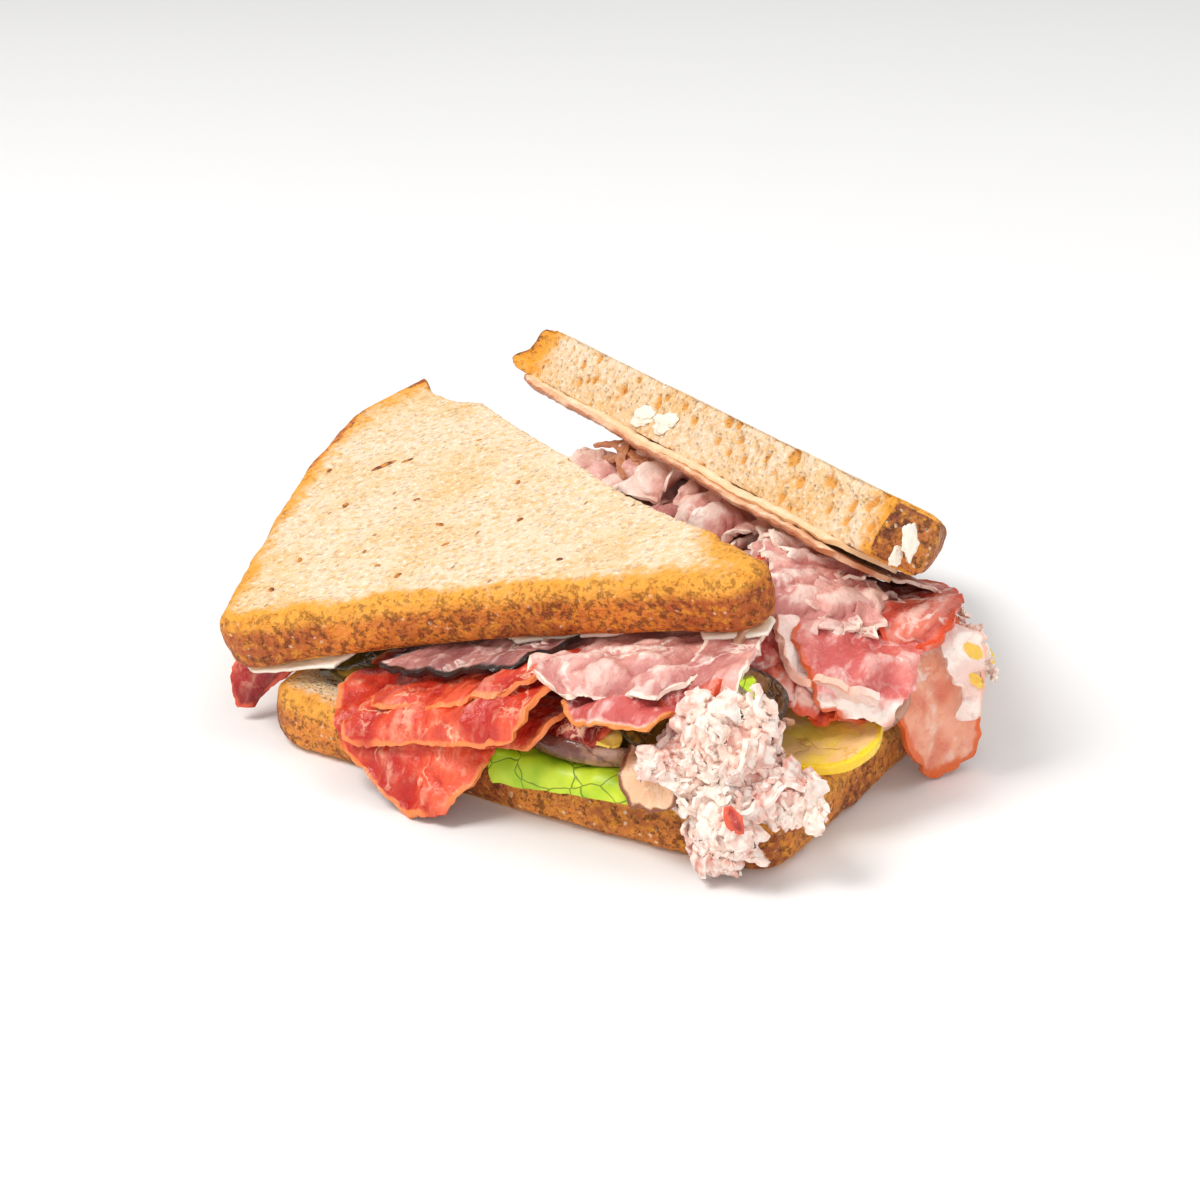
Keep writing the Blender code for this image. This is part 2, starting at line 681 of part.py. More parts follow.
def right_half_sheets():
    """The slices in the right half, from the bottom up."""
    front = [
        Sheet("salami_inner", "salami", [(112, 62, 22), (122, 50, 23.5), (129, 42, 24), (134, 36, 22)],
              [8, 9, 9, 7], (0.55, 0.75, -0.3), wave=0.7, cells=(5, 5), seed=12),
        Sheet("pastrami_front", "beef", [(118, 84, 31), (120, 62, 34.5), (119.5, 45, 37), (119.5, 35, 36.5),
              (120.5, 28, 33), (121, 25, 28.5)], [14, 18, 21, 22, 21, 18], (0.8, 0.1, -0.5), (0.74, 0.08, -0.66),
              wave=1.3, wave_length=23, cells=(8, 8), seed=13),
        Sheet("ham_fold", "ham", [(118, 84, 35), (122, 64, 38.4), (128, 50, 39), (133, 38, 36.5), (136, 32.5, 31.5),
              (136, 31, 26.5)], [12, 15, 15, 15, 14, 12], (0.85, 0.45, -0.3), wave=1.0, wave_length=30, seed=14),
        Sheet("ham_hanging", "ham", [(120, 84, 32.5), (126, 76, 33.6), (133, 67, 33), (139.5, 61, 29.5), (143, 60.5, 19),
              (145, 63, 9), (146, 66, 1.8)], [12, 14, 14, 13, 12, 11, 10], (0.4, 0.9, -0.2), (0.35, 0.93, 0.05),
              wave=1.2, wave_length=38, cells=(9, 6), seed=15),
        Sheet("pastrami_end", "salami", [(120, 96, 31), (128, 80, 36), (134, 66, 39), (137.5, 57, 39.5), (140, 51, 35)],
              [8, 10, 11, 10, 8], (0.86, 0.5, 0.0), wave=1.4, wave_length=27, cells=(6, 6), seed=16),
    ]
    pile = []
    for name, along, height, reach, width, wave, food in (
        ("beef_low_far", 63, 32.5, 19, 24, 2.2, "beef"),
        ("beef_low_near", 114, 32.5, 20, 25, 2.2, "beef"),
        ("beef_far", 62, 37.5, 13, 19.5, 2.2, "beef"),
        ("beef_middle", 101, 37.5, 14, 18.5, 2.2, "beef"),
        ("beef_near", 140, 37.5, 17, 19.5, 2.2, "beef"),
        ("ham_far", 72, 42.5, 6, 16.5, 2.2, "ham"),
        ("ham_middle", 107, 42.5, 8, 17.5, 2.2, "ham"),
        ("ham_near", 143, 42.5, 11, 17.5, 2.2, "ham"),
    ):
        path = [
            beside_cut(along, -40, height - 22.0),
            beside_cut(along, -24, height - 11.0),
            beside_cut(along, -8, height - 2.4),
            beside_cut(along, reach - 9, height + 0.8),
            beside_cut(along, reach - 2, height - 0.6),
            beside_cut(along, reach, height - 5.4),
        ]
        widths = [0.55 * width, 0.85 * width, width, width, width, 0.85 * width]
        pile.append(Sheet(name, food, path, widths, (0.865, -0.5, 0.02), wave=wave, wave_length=14,
                          cells=(7, 9), seed=along / 10,
                          thick=1.5, ragged=1.2))
    covers = []
    for name, along, width, start, drop, lip, food in (
        ("cheese_slice", 92, 74, -36, 1.5, 2.2, "cheese"),
        ("turkey_slice", 84, 66, -34, 3.4, 4.2, "turkey"),
    ):
        path = [
            under_right_top(along, start, drop),
            under_right_top(along, 0.5 * start, drop),
            under_right_top(along, -2, drop),
            under_right_top(along + 1, lip - 1.0, drop + 0.5),
            under_right_top(along + 1, lip, drop + 2.4),
        ]
        widths = [0.5 * width, 0.78 * width, width, width, 0.97 * width]
        covers.append(Sheet(name, food, path, widths, (0.865, -0.5, -0.02), wave=0.45, wave_length=12,
                            cells=(5, 14), seed=along / 7, thick=1.4, ragged=0.9, round_power=7))
    return covers + front + pile


def make_salad():
    """Pickles, pepper and onion."""
    return [
        make_disc("pickle_front", "pickle", (103, 9, 27.2), 10.5, (0.15, -0.55, 0.82)),
        make_disc("pickle_small", "pickle", (92.5, 9, 21.8), 6.5, (0.1, -0.3, 0.95), 2.4),
        make_disc("pepper_large", "pepper", (124.5, 34, 18.3), 16.5, (-0.06, 0.04, 1), 2.6, 0.7, 0.9),
        make_disc("pickle_gap", "pickle", (117.5, 19, 30.5), 8.0, (0.35, -0.45, 0.82), 2.8),
        make_disc("pepper_far", "pepper", (141, 84, 21.5), 6.0, (0.7, -0.2, 0.65), 2.4),
        make_onion("onion_front", (85, 15, 20.2), 18.0, 185, 355, (0.0, -0.03, 1)),
        make_onion("onion_gap", (124, 26, 38), 12.5, 150, 285, (0.5, -0.75, 0.42)),
        make_onion("onion_right", (125.5, 50, 24.5), 13.5, -75, 60, (0.30, -0.25, 0.93)),
    ]


def make_chicken():
    """The heap of shredded chicken over the front corner, and the small one at the right side."""
    front = make_heap(
        "chicken_front",
        "chicken",
        [
            ((119.5, 3.0, 28.0), (13.0, 8.5, 12.0)),
            ((112.0, -0.5, 21.0), (7.5, 6.5, 8.5)),
            ((131.0, 1.5, 20.0), (8.5, 6.5, 6.0)),
            ((123.5, -4.8, 11.5), (7.5, 4.4, 9.5)),
        ],
        15,
        1.7,
    )
    side = make_heap(
        "chicken_side",
        "chicken",
        [((140.0, 75.0, 27.0), (4.5, 8.0, 5.5)), ((142.5, 79.0, 20.5), (4.0, 6.0, 5.5))],
        7,
        4.1,
    )
    return [front, side]


def move_to_base(objects):
    """Moves every piece so that the origin is at the middle of the sandwich's base."""
    boxes = [world_box(obj) for obj in objects]
    low = Vector(min(b[0][i] for b in boxes) for i in range(3))
    high = Vector(max(b[1][i] for b in boxes) for i in range(3))
    shift = Vector((-(low.x + high.x) / 2, -(low.y + high.y) / 2, -low.z))
    for obj in objects:
        obj.location += shift


def main():
    for obj in list(bpy.data.objects):
        bpy.data.objects.remove(obj)
    placed = make_breads() + [make_mayonnaise()]
    foods = make_salad()
    sheets = [make_sheet(sheet) for sheet in left_half_sheets() + right_half_sheets()]
    for obj in foods + sheets + make_chicken():
        apply_modifiers(obj)
        clear_of(obj, placed, CLEARANCE, smooth=True)
        simplify(obj, MOST_FACES.get(obj.name, MOST_SHEET_FACES))
        clear_of(obj, placed, SECOND_CLEARANCE, smooth=False)
        placed.append(obj)
    group = bpy.data.collections.new("club_sandwich")
    bpy.context.scene.collection.children.link(group)
    for obj in placed:
        move_to(obj, group)
    bpy.context.view_layer.update()
    move_to_base(placed)


main()
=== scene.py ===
"""A club sandwich cut on the diagonal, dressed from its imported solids.

Lengths in the tables are millimetres in the sandwich's own layout: the origin is the left corner of the
bottom bread, X runs along its front crust and Y along its left crust. Layout.place() moves them to the
model's frame.
"""

from __future__ import annotations

import json
import logging
import math
import random
from dataclasses import dataclass, field, replace
from enum import Enum

import bmesh
import bpy
import numpy as np
from mathutils import Matrix, Quaternion, Vector, noise

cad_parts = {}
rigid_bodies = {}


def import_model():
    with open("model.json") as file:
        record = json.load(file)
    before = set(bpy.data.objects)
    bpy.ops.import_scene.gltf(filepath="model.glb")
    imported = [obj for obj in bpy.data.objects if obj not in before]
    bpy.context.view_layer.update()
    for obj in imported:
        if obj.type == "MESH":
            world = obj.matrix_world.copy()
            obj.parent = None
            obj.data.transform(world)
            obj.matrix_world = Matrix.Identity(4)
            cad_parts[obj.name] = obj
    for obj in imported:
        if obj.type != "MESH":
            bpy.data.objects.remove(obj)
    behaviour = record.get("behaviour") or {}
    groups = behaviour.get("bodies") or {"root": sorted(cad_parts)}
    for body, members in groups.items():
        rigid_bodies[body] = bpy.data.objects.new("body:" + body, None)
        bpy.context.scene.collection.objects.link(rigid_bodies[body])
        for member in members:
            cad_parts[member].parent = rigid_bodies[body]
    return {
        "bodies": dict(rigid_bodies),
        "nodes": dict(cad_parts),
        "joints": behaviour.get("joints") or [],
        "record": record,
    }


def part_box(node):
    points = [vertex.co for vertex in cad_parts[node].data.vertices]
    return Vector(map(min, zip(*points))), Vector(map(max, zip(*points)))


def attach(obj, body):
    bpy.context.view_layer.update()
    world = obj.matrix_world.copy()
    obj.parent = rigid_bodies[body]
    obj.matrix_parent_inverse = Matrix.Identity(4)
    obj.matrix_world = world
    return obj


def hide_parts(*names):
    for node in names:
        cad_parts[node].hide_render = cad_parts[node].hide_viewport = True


LOG = logging.getLogger("club_sandwich")
MM = 0.001
ROOT = "root"
# The offsets of noise_vector come from the clock unless a seed is set, so each run sets this one.
NOISE_SEED = 5
Colour = tuple[float, float, float]
Point = tuple[float, float, float]


def srgb(red: int, green: int, blue: int) -> Colour:
    """Turn a colour as a picture editor shows it into linear light.

    Args:
        red: Red, 0 to 255.
        green: Green, 0 to 255.
        blue: Blue, 0 to 255.

    Returns:
        The three linear values.
    """
    return tuple(((v / 255 + 0.055) / 1.055) ** 2.4 if v > 10 else v / 3294 for v in (red, green, blue))


class Slot(Enum):
    """The food slots of the record."""

    BREAD = "bread"
    MAYONNAISE = "mayonnaise"
    LETTUCE = "lettuce"
    ONION = "onion"
    PICKLE = "pickle"
    PEPPER = "pepper"
    SALAMI = "salami"
    BEEF = "beef"
    HAM = "ham"
    TURKEY = "turkey"
    CHEESE = "cheese"
    CHICKEN = "chicken"


@dataclass(frozen=True)
class Layout:
    """Where the tables' frame lies in the model, worked out from the left bottom bread.

    Attributes:
        corner: The lowest corner of that bread's box in the tables' frame, in millimetres.
        shift: How far the tables' frame lies from the model's, in metres.
    """

    corner: Point = (-2.6268, -1.7219, 0.0)
    shift: Vector = field(default_factory=Vector)

    @classmethod
    def from_frame(cls) -> Layout:
        """Read the bread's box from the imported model.

        Returns:
            The layout of this model.
        """
        low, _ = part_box("bread_bottom_left")
        return cls(shift=low - Vector(cls.corner) * MM)

    def place(self, point: Vector) -> Vector:
        """Turn a point of the tables, in millimetres, into the model's metres."""
        return point * MM + self.shift


# Curves and noise


def rough(point: Vector, size: float, seed: float = 0.0) -> float:
    """Give smooth noise between -1 and 1.

    Args:
        point: Where it is read, in millimetres.
        size: How far apart its bumps are.
        seed: Picks another pattern.

    Returns:
        The noise's value there.
    """
    return noise.noise(Vector((point.x / size + 13.7 * seed, point.y / size, point.z / size + 3.1 * seed)))


def smooth_path(points: list[Point], count: int) -> list[Vector]:
    """Read points at even steps along a smooth curve.

    Args:
        points: The points that the curve runs through.
        count: How many points to give back.

    Returns:
        The points along the curve.
    """
    knots = [Vector(p) for p in points]
    padded = [2 * knots[0] - knots[1], *knots, 2 * knots[-1] - knots[-2]]
    fine: list[Vector] = []
    for a, b, c, d in zip(padded, padded[1:], padded[2:], padded[3:]):
        for k in range(12):
            t = k / 12
            second, third = 2 * a - 5 * b + 4 * c - d, 3 * b - a - 3 * c + d
            fine.append(0.5 * (2 * b + (c - a) * t + second * t**2 + third * t**3))
    fine.append(knots[-1])
    reach = [0.0]
    for p, q in zip(fine, fine[1:]):
        reach.append(reach[-1] + (q - p).length)
    found: list[Vector] = []
    place = 0
    for k in range(count):
        wanted = reach[-1] * k / (count - 1)
        while place < len(reach) - 2 and reach[place + 1] < wanted:
            place += 1
        share = (wanted - reach[place]) / max(reach[place + 1] - reach[place], 1e-9)
        found.append(fine[place].lerp(fine[place + 1], min(max(share, 0.0), 1.0)))
    return found


def read_between(values: list[float], share: float) -> float:
    """Read a list by straight interpolation.

    Args:
        values: The list.
        share: How far through it, 0 to 1.

    Returns:
        The value there.
    """
    place = min(max(share, 0.0), 1.0) * (len(values) - 1)
    low = min(int(place), len(values) - 2)
    return values[low] + (values[low + 1] - values[low]) * (place - low)


def smoothstep(low: float, high: float, value: float) -> float:
    """Give 0 below low, 1 above high and a soft step between them."""
    t = min(max((value - low) / (high - low), 0.0), 1.0)
    return t * t * (3 - 2 * t)


# Objects


def deselect() -> None:
    """Leave nothing selected, so that an operator acts on the new piece alone."""
    for obj in bpy.context.selected_objects:
        obj.select_set(False)


def apply_all(obj: bpy.types.Object) -> None:
    """Apply every modifier of an object, from the first down."""
    bpy.context.view_layer.objects.active = obj
    for modifier in list(obj.modifiers):
        bpy.ops.object.modifier_apply(modifier=modifier.name)


def smooth_shade(obj: bpy.types.Object, angle: float = 60.0) -> None:
    """Shade an object smooth, apart from edges sharper than the angle in degrees."""
    deselect()
    obj.select_set(True)
    bpy.context.view_layer.objects.active = obj
    bpy.ops.object.shade_smooth_by_angle(angle=math.radians(angle))
    obj.select_set(False)


def hand_over(obj: bpy.types.Object, name: str, look: bpy.types.Material, slot: Slot, *nodes: str) -> None:
    """Finish a piece: its name, its look, the body it rides on and the solids it stands for.

    Args:
        obj: The finished piece, in its place.
        name: Its name.
        look: Its material.
        slot: The record's slot; not used.
        *nodes: The solids that it replaces.
    """
    obj.name = name
    obj.data.name = name
    obj.data.materials.clear()
    obj.data.materials.append(look)
    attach(obj, ROOT)
    if nodes:
        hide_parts(*nodes)
    LOG.info("%s: %d faces", name, len(obj.data.polygons))


def fine_slab(
    outline: list[tuple[float, float]], low: float, thick: float, voxel: float
) -> bpy.types.Object:
    """Make a slab: a disc pulled to the outline, extruded and remeshed finely.

    Args:
        outline: The outline's points, in millimetres.
        low: The height of its underside.
        thick: Its thickness.
        voxel: How fine its mesh is.

    Returns:
        The slab, one millimetre to a unit.
    """
    deselect()
    bpy.ops.mesh.primitive_circle_add(vertices=len(outline), radius=1.0, fill_type="NGON")
    obj = bpy.context.object
    for vertex, (x, y) in zip(obj.data.vertices, outline):
        vertex.co = (x, y, low)
    bpy.ops.object.mode_set(mode="EDIT")
    bpy.ops.mesh.select_all(action="SELECT")
    bpy.ops.mesh.extrude_region_move(TRANSFORM_OT_translate={"value": (0, 0, thick)})
    bpy.ops.mesh.select_all(action="SELECT")
    bpy.ops.mesh.normals_make_consistent(inside=False)
    bpy.ops.object.mode_set(mode="OBJECT")
    remesh = obj.modifiers.new("fine", "REMESH")
    remesh.mode = "VOXEL"
    remesh.voxel_size = voxel
    apply_all(obj)
    return obj


def merged(solid: bpy.types.Object) -> bmesh.types.BMesh:
    """Copy a solid's mesh with its loose triangles joined up."""
    mesh = bmesh.new()
    mesh.from_mesh(solid.data)
    bmesh.ops.remove_doubles(mesh, verts=mesh.verts, dist=1e-6)
    return mesh


def store(obj: bpy.types.Object, name: str, values: list[float]) -> None:
    """Keep one number for each point of a mesh, which its material reads."""
    layer = obj.data.attributes.new(name, "FLOAT", "POINT")
    layer.data.foreach_set("value", values)


# Materials


class Nodes:
    """Adds and joins nodes of one material or group."""

    def __init__(self, tree: bpy.types.NodeTree) -> None:
        """Keep the tree.

        Args:
            tree: The node tree to add to.
        """
        self.tree = tree

    def add(self, kind: str, inputs: dict[str, object] | None = None, **settings: object) -> bpy.types.Node:
        """Add a node, set its properties, and set or join its inputs.

        Args:
            kind: The node's type name.
            inputs: Input names or numbers, with a value or the socket to join.
            **settings: The node's properties.

        Returns:
            The new node.
        """
        node = self.tree.nodes.new(kind)
        for name, value in settings.items():
            setattr(node, name, value)
        for name, value in (inputs or {}).items():
            socket = node.inputs[name]
            if isinstance(value, bpy.types.NodeSocket):
                self.tree.links.new(value, socket)
            elif isinstance(value, tuple) and len(value) == 3 and socket.type == "RGBA":
                socket.default_value = (*value, 1.0)
            else:
                socket.default_value = value
        return node

    def mix(self, share: object, low: object, high: object) -> bpy.types.NodeSocket:
        """Mix two colours.

        Args:
            share: How much of the second, a number or a socket.
            low: The first colour.
            high: The second colour.

        Returns:
            The mixed colour's socket.
        """
        node = self.add("ShaderNodeMix", data_type="RGBA")
        for index, value in ((0, share), (6, low), (7, high)):
            if isinstance(value, bpy.types.NodeSocket):
                self.tree.links.new(value, node.inputs[index])
            elif isinstance(value, tuple):
                node.inputs[index].default_value = (*value, 1.0)
            else:
                node.inputs[index].default_value = value
        return node.outputs[2]

    def math(
        self, operation: str, first: object, second: object = 0.0, clamp: bool = False
    ) -> bpy.types.NodeSocket:
        """Do one sum.

        Args:
            operation: The sum's name.
            first: A number or a socket.
            second: A number or a socket.
            clamp: Keep the result between 0 and 1.

        Returns:
            The result's socket.
        """
        node = self.add("ShaderNodeMath", {0: first, 1: second}, operation=operation, use_clamp=clamp)
        return node.outputs[0]

    def noise(self, where: object, scale: object, detail: float = 2.0) -> bpy.types.NodeSocket:
        """Give smooth random patches.

        Args:
            where: The pattern's coordinates.
            scale: How close together the patches are.
            detail: How many finer layers they have.

        Returns:
            The patches' socket.
        """
        return self.add("ShaderNodeTexNoise",
                        {"Vector": where, "Scale": scale, "Detail": detail}).outputs[0]

    def stored(self, name: str) -> bpy.types.NodeSocket:
        """Read a number that is kept for each point of the mesh."""
        return self.add("ShaderNodeAttribute", attribute_name=name).outputs["Fac"]

    def ramp(
        self, value: object, low: float, high: float, first: float = 0.0, last: float = 1.0
    ) -> bpy.types.NodeSocket:
        """Give a soft step of a value from low to high.

        Args:
            value: The value's socket.
            low: Where the step starts.
            high: Where it ends.
            first: What it gives below the step.
            last: What it gives above it.

        Returns:
            The step's socket.
        """
        node = self.add(
            "ShaderNodeMapRange", {0: value, 1: low, 2: high, 3: first, 4: last},
            interpolation_type="SMOOTHSTEP"
        )
        return node.outputs[0]


def shader_group(
    name: str, inputs: dict[str, tuple[str, object]], outputs: dict[str, str]
) -> tuple[bpy.types.NodeTree, Nodes, bpy.types.Node, bpy.types.Node]:
    """Start a shader node group with named sockets.

    Args:
        name: The group's name.
        inputs: Each input's socket type and default.
        outputs: Each output's socket type.

    Returns:
        The group, its node maker, its input node and its output node.
    """
    tree = bpy.data.node_groups.new(name, "ShaderNodeTree")
    for label, (kind, default) in inputs.items():
        socket = tree.interface.new_socket(name=label, in_out="INPUT", socket_type=kind)
        if default is not None:
            socket.default_value = default
    for label, kind in outputs.items():
        tree.interface.new_socket(name=label, in_out="OUTPUT", socket_type=kind)
    maker = Nodes(tree)
    return tree, maker, maker.add("NodeGroupInput"), maker.add("NodeGroupOutput")


FLOAT = "NodeSocketFloat"
VECTOR = "NodeSocketVector"


class Effects:
    """The shader effects that several foods share, each built once."""

    def __init__(self) -> None:
        """Build every group."""
        self.specks = self._specks()
        self.veining = self._veining()
        self.grain = self._grain()

    def _specks(self) -> bpy.types.NodeTree:
        """Build scattered specks: small spots in some of the cells of a random pattern.

        Returns:
            The group, with a Mask output.
        """
        tree, make, given, out = shader_group(
            "specks",
            {"Vector": (VECTOR, None), "Scale": (FLOAT, 300.0), "Size": (FLOAT, 0.2),
             "Amount": (FLOAT, 0.3)},
            {"Mask": FLOAT},
        )
        cells = make.add("ShaderNodeTexVoronoi", {"Vector": given.outputs[0], "Scale": given.outputs[1]})
        parted = make.add("ShaderNodeSeparateColor", {0: cells.outputs["Color"]})
        chosen = make.math("LESS_THAN", parted.outputs[0], given.outputs[3])
        edge = make.math("MULTIPLY", given.outputs[2], 0.6)
        spot = make.add("ShaderNodeMapRange",
                        {0: cells.outputs["Distance"], 1: edge, 2: given.outputs[2], 3: 1.0, 4: 0.0})
        make.tree.links.new(make.math("MULTIPLY", spot.outputs[0], chosen, True), out.inputs[0])
        return tree

    def _veining(self) -> bpy.types.NodeTree:
        """Build thin winding lines, as marbling in meat.

        Returns:
            The group, with a Mask output.
        """
        tree, make, given, out = shader_group(
            "veining",
            {"Vector": (VECTOR, None), "Scale": (FLOAT, 60.0), "Width": (FLOAT, 0.05),
             "Warp": (FLOAT, 0.01)},
            {"Mask": FLOAT},
        )
        bend = make.add("ShaderNodeTexNoise", {"Vector": given.outputs[0], "Scale": 90.0, "Detail": 2.0})
        moved = make.add("ShaderNodeVectorMath", {0: bend.outputs["Color"], "Scale": given.outputs[3]},
                         operation="SCALE")
        place = make.add("ShaderNodeVectorMath", {0: given.outputs[0], 1: moved.outputs[0]},
                         operation="ADD")
        lines = make.add(
            "ShaderNodeTexNoise",
            {"Vector": place.outputs[0], "Scale": given.outputs[1], "Detail": 4.0, "Roughness": 0.6}
        )
        away = make.math("ABSOLUTE", make.math("SUBTRACT", lines.outputs[0], 0.5))
        line = make.add("ShaderNodeMapRange", {0: away, 1: 0.0, 2: given.outputs[2], 3: 1.0, 4: 0.0})
        make.tree.links.new(line.outputs[0], out.inputs[0])
        return tree

    def _grain(self) -> bpy.types.NodeTree:
        """Build a fine uneven surface of two sizes of bumps.

        Returns:
            The group, with a Height output.
        """
        tree, make, given, out = shader_group(
            "grain",
            {"Vector": (VECTOR, None), "Scale": (FLOAT, 900.0), "Broad Scale": (FLOAT, 200.0),
             "Broad": (FLOAT, 0.5)},
            {"Height": FLOAT},
        )
        fine = make.noise(given.outputs[0], given.outputs[1], 3.0)
        broad = make.noise(given.outputs[0], given.outputs[2])
        sized = make.math("MULTIPLY", broad, given.outputs[3])
        make.tree.links.new(make.math("ADD", fine, sized), out.inputs[0])
        return tree


@dataclass(frozen=True)
class MeatFinish:
    """The look of one kind of sliced meat.

    Attributes:
        name: The finish's name.
        slot: The record's slot.
        body: The meat's main colour.
        deep: The darker colour of its patches, also painted into its valleys as shade.
        pale: The colour of its fat streaks, also painted on its ridges as a highlight.
        rim: The colour along its cut rim.
        rim_mm: How wide the rim is.
        fat_mm: How wide the pale band inside the rim is.
        streaks: The width of its streaks in the pattern, 0 for none.
        streak_scale: How close together the streaks are.
        roughness: How rough its surface is.
        bump: How deep its grain is, in metres.
        ridge: How pale the painted highlight makes its ridges.
        valley: How dark the painted shade makes its valleys.
        rim_share: How much of its rim shows the rim's colour.
        flecks: How pale its fine flecks are.
    """

    name: str
    slot: Slot
    body: Colour
    deep: Colour
    pale: Colour
    rim: Colour
    rim_mm: float = 1.2
    fat_mm: float = 0.0
    streaks: float = 0.03
    streak_scale: float = 70.0
    roughness: float = 0.36
    bump: float = 0.0003
    ridge: float = 0.5
    valley: float = 0.7
    rim_share: float = 0.6
    flecks: float = 0.4


@dataclass(frozen=True)
class BreadFinish:
    """The look of the loaf: its crumb, the golden band beside the crust and the crust itself."""

    name: str = "bread_top"
    crumb: Colour = srgb(242, 213, 180)
    crumb_warm: Colour = srgb(234, 188, 124)
    # Painted shade: the warmer, darker colour painted into the pores of the crumb.
    pit: Colour = srgb(232, 168, 84)
    golden: Colour = srgb(240, 160, 36)
    crust: Colour = srgb(230, 134, 48)
    crust_dark: Colour = srgb(178, 86, 28)
    bran: Colour = srgb(146, 88, 42)
    flour: Colour = srgb(252, 232, 200)
    dust: float = 0.06


@dataclass(frozen=True)
class WetFinish:
    """The look of a wet vegetable: its body, its patches, its rim and its lines."""

    name: str
    slot: Slot
    body: Colour
    patch: Colour
    rim: Colour
    line: Colour
    rim_mm: float = 1.2
    line_width: float = 0.02
    line_scale: float = 60.0
    patch_scale: float = 120.0
    roughness: float = 0.25
    bump: float = 0.0002
    coat: float = 0.25


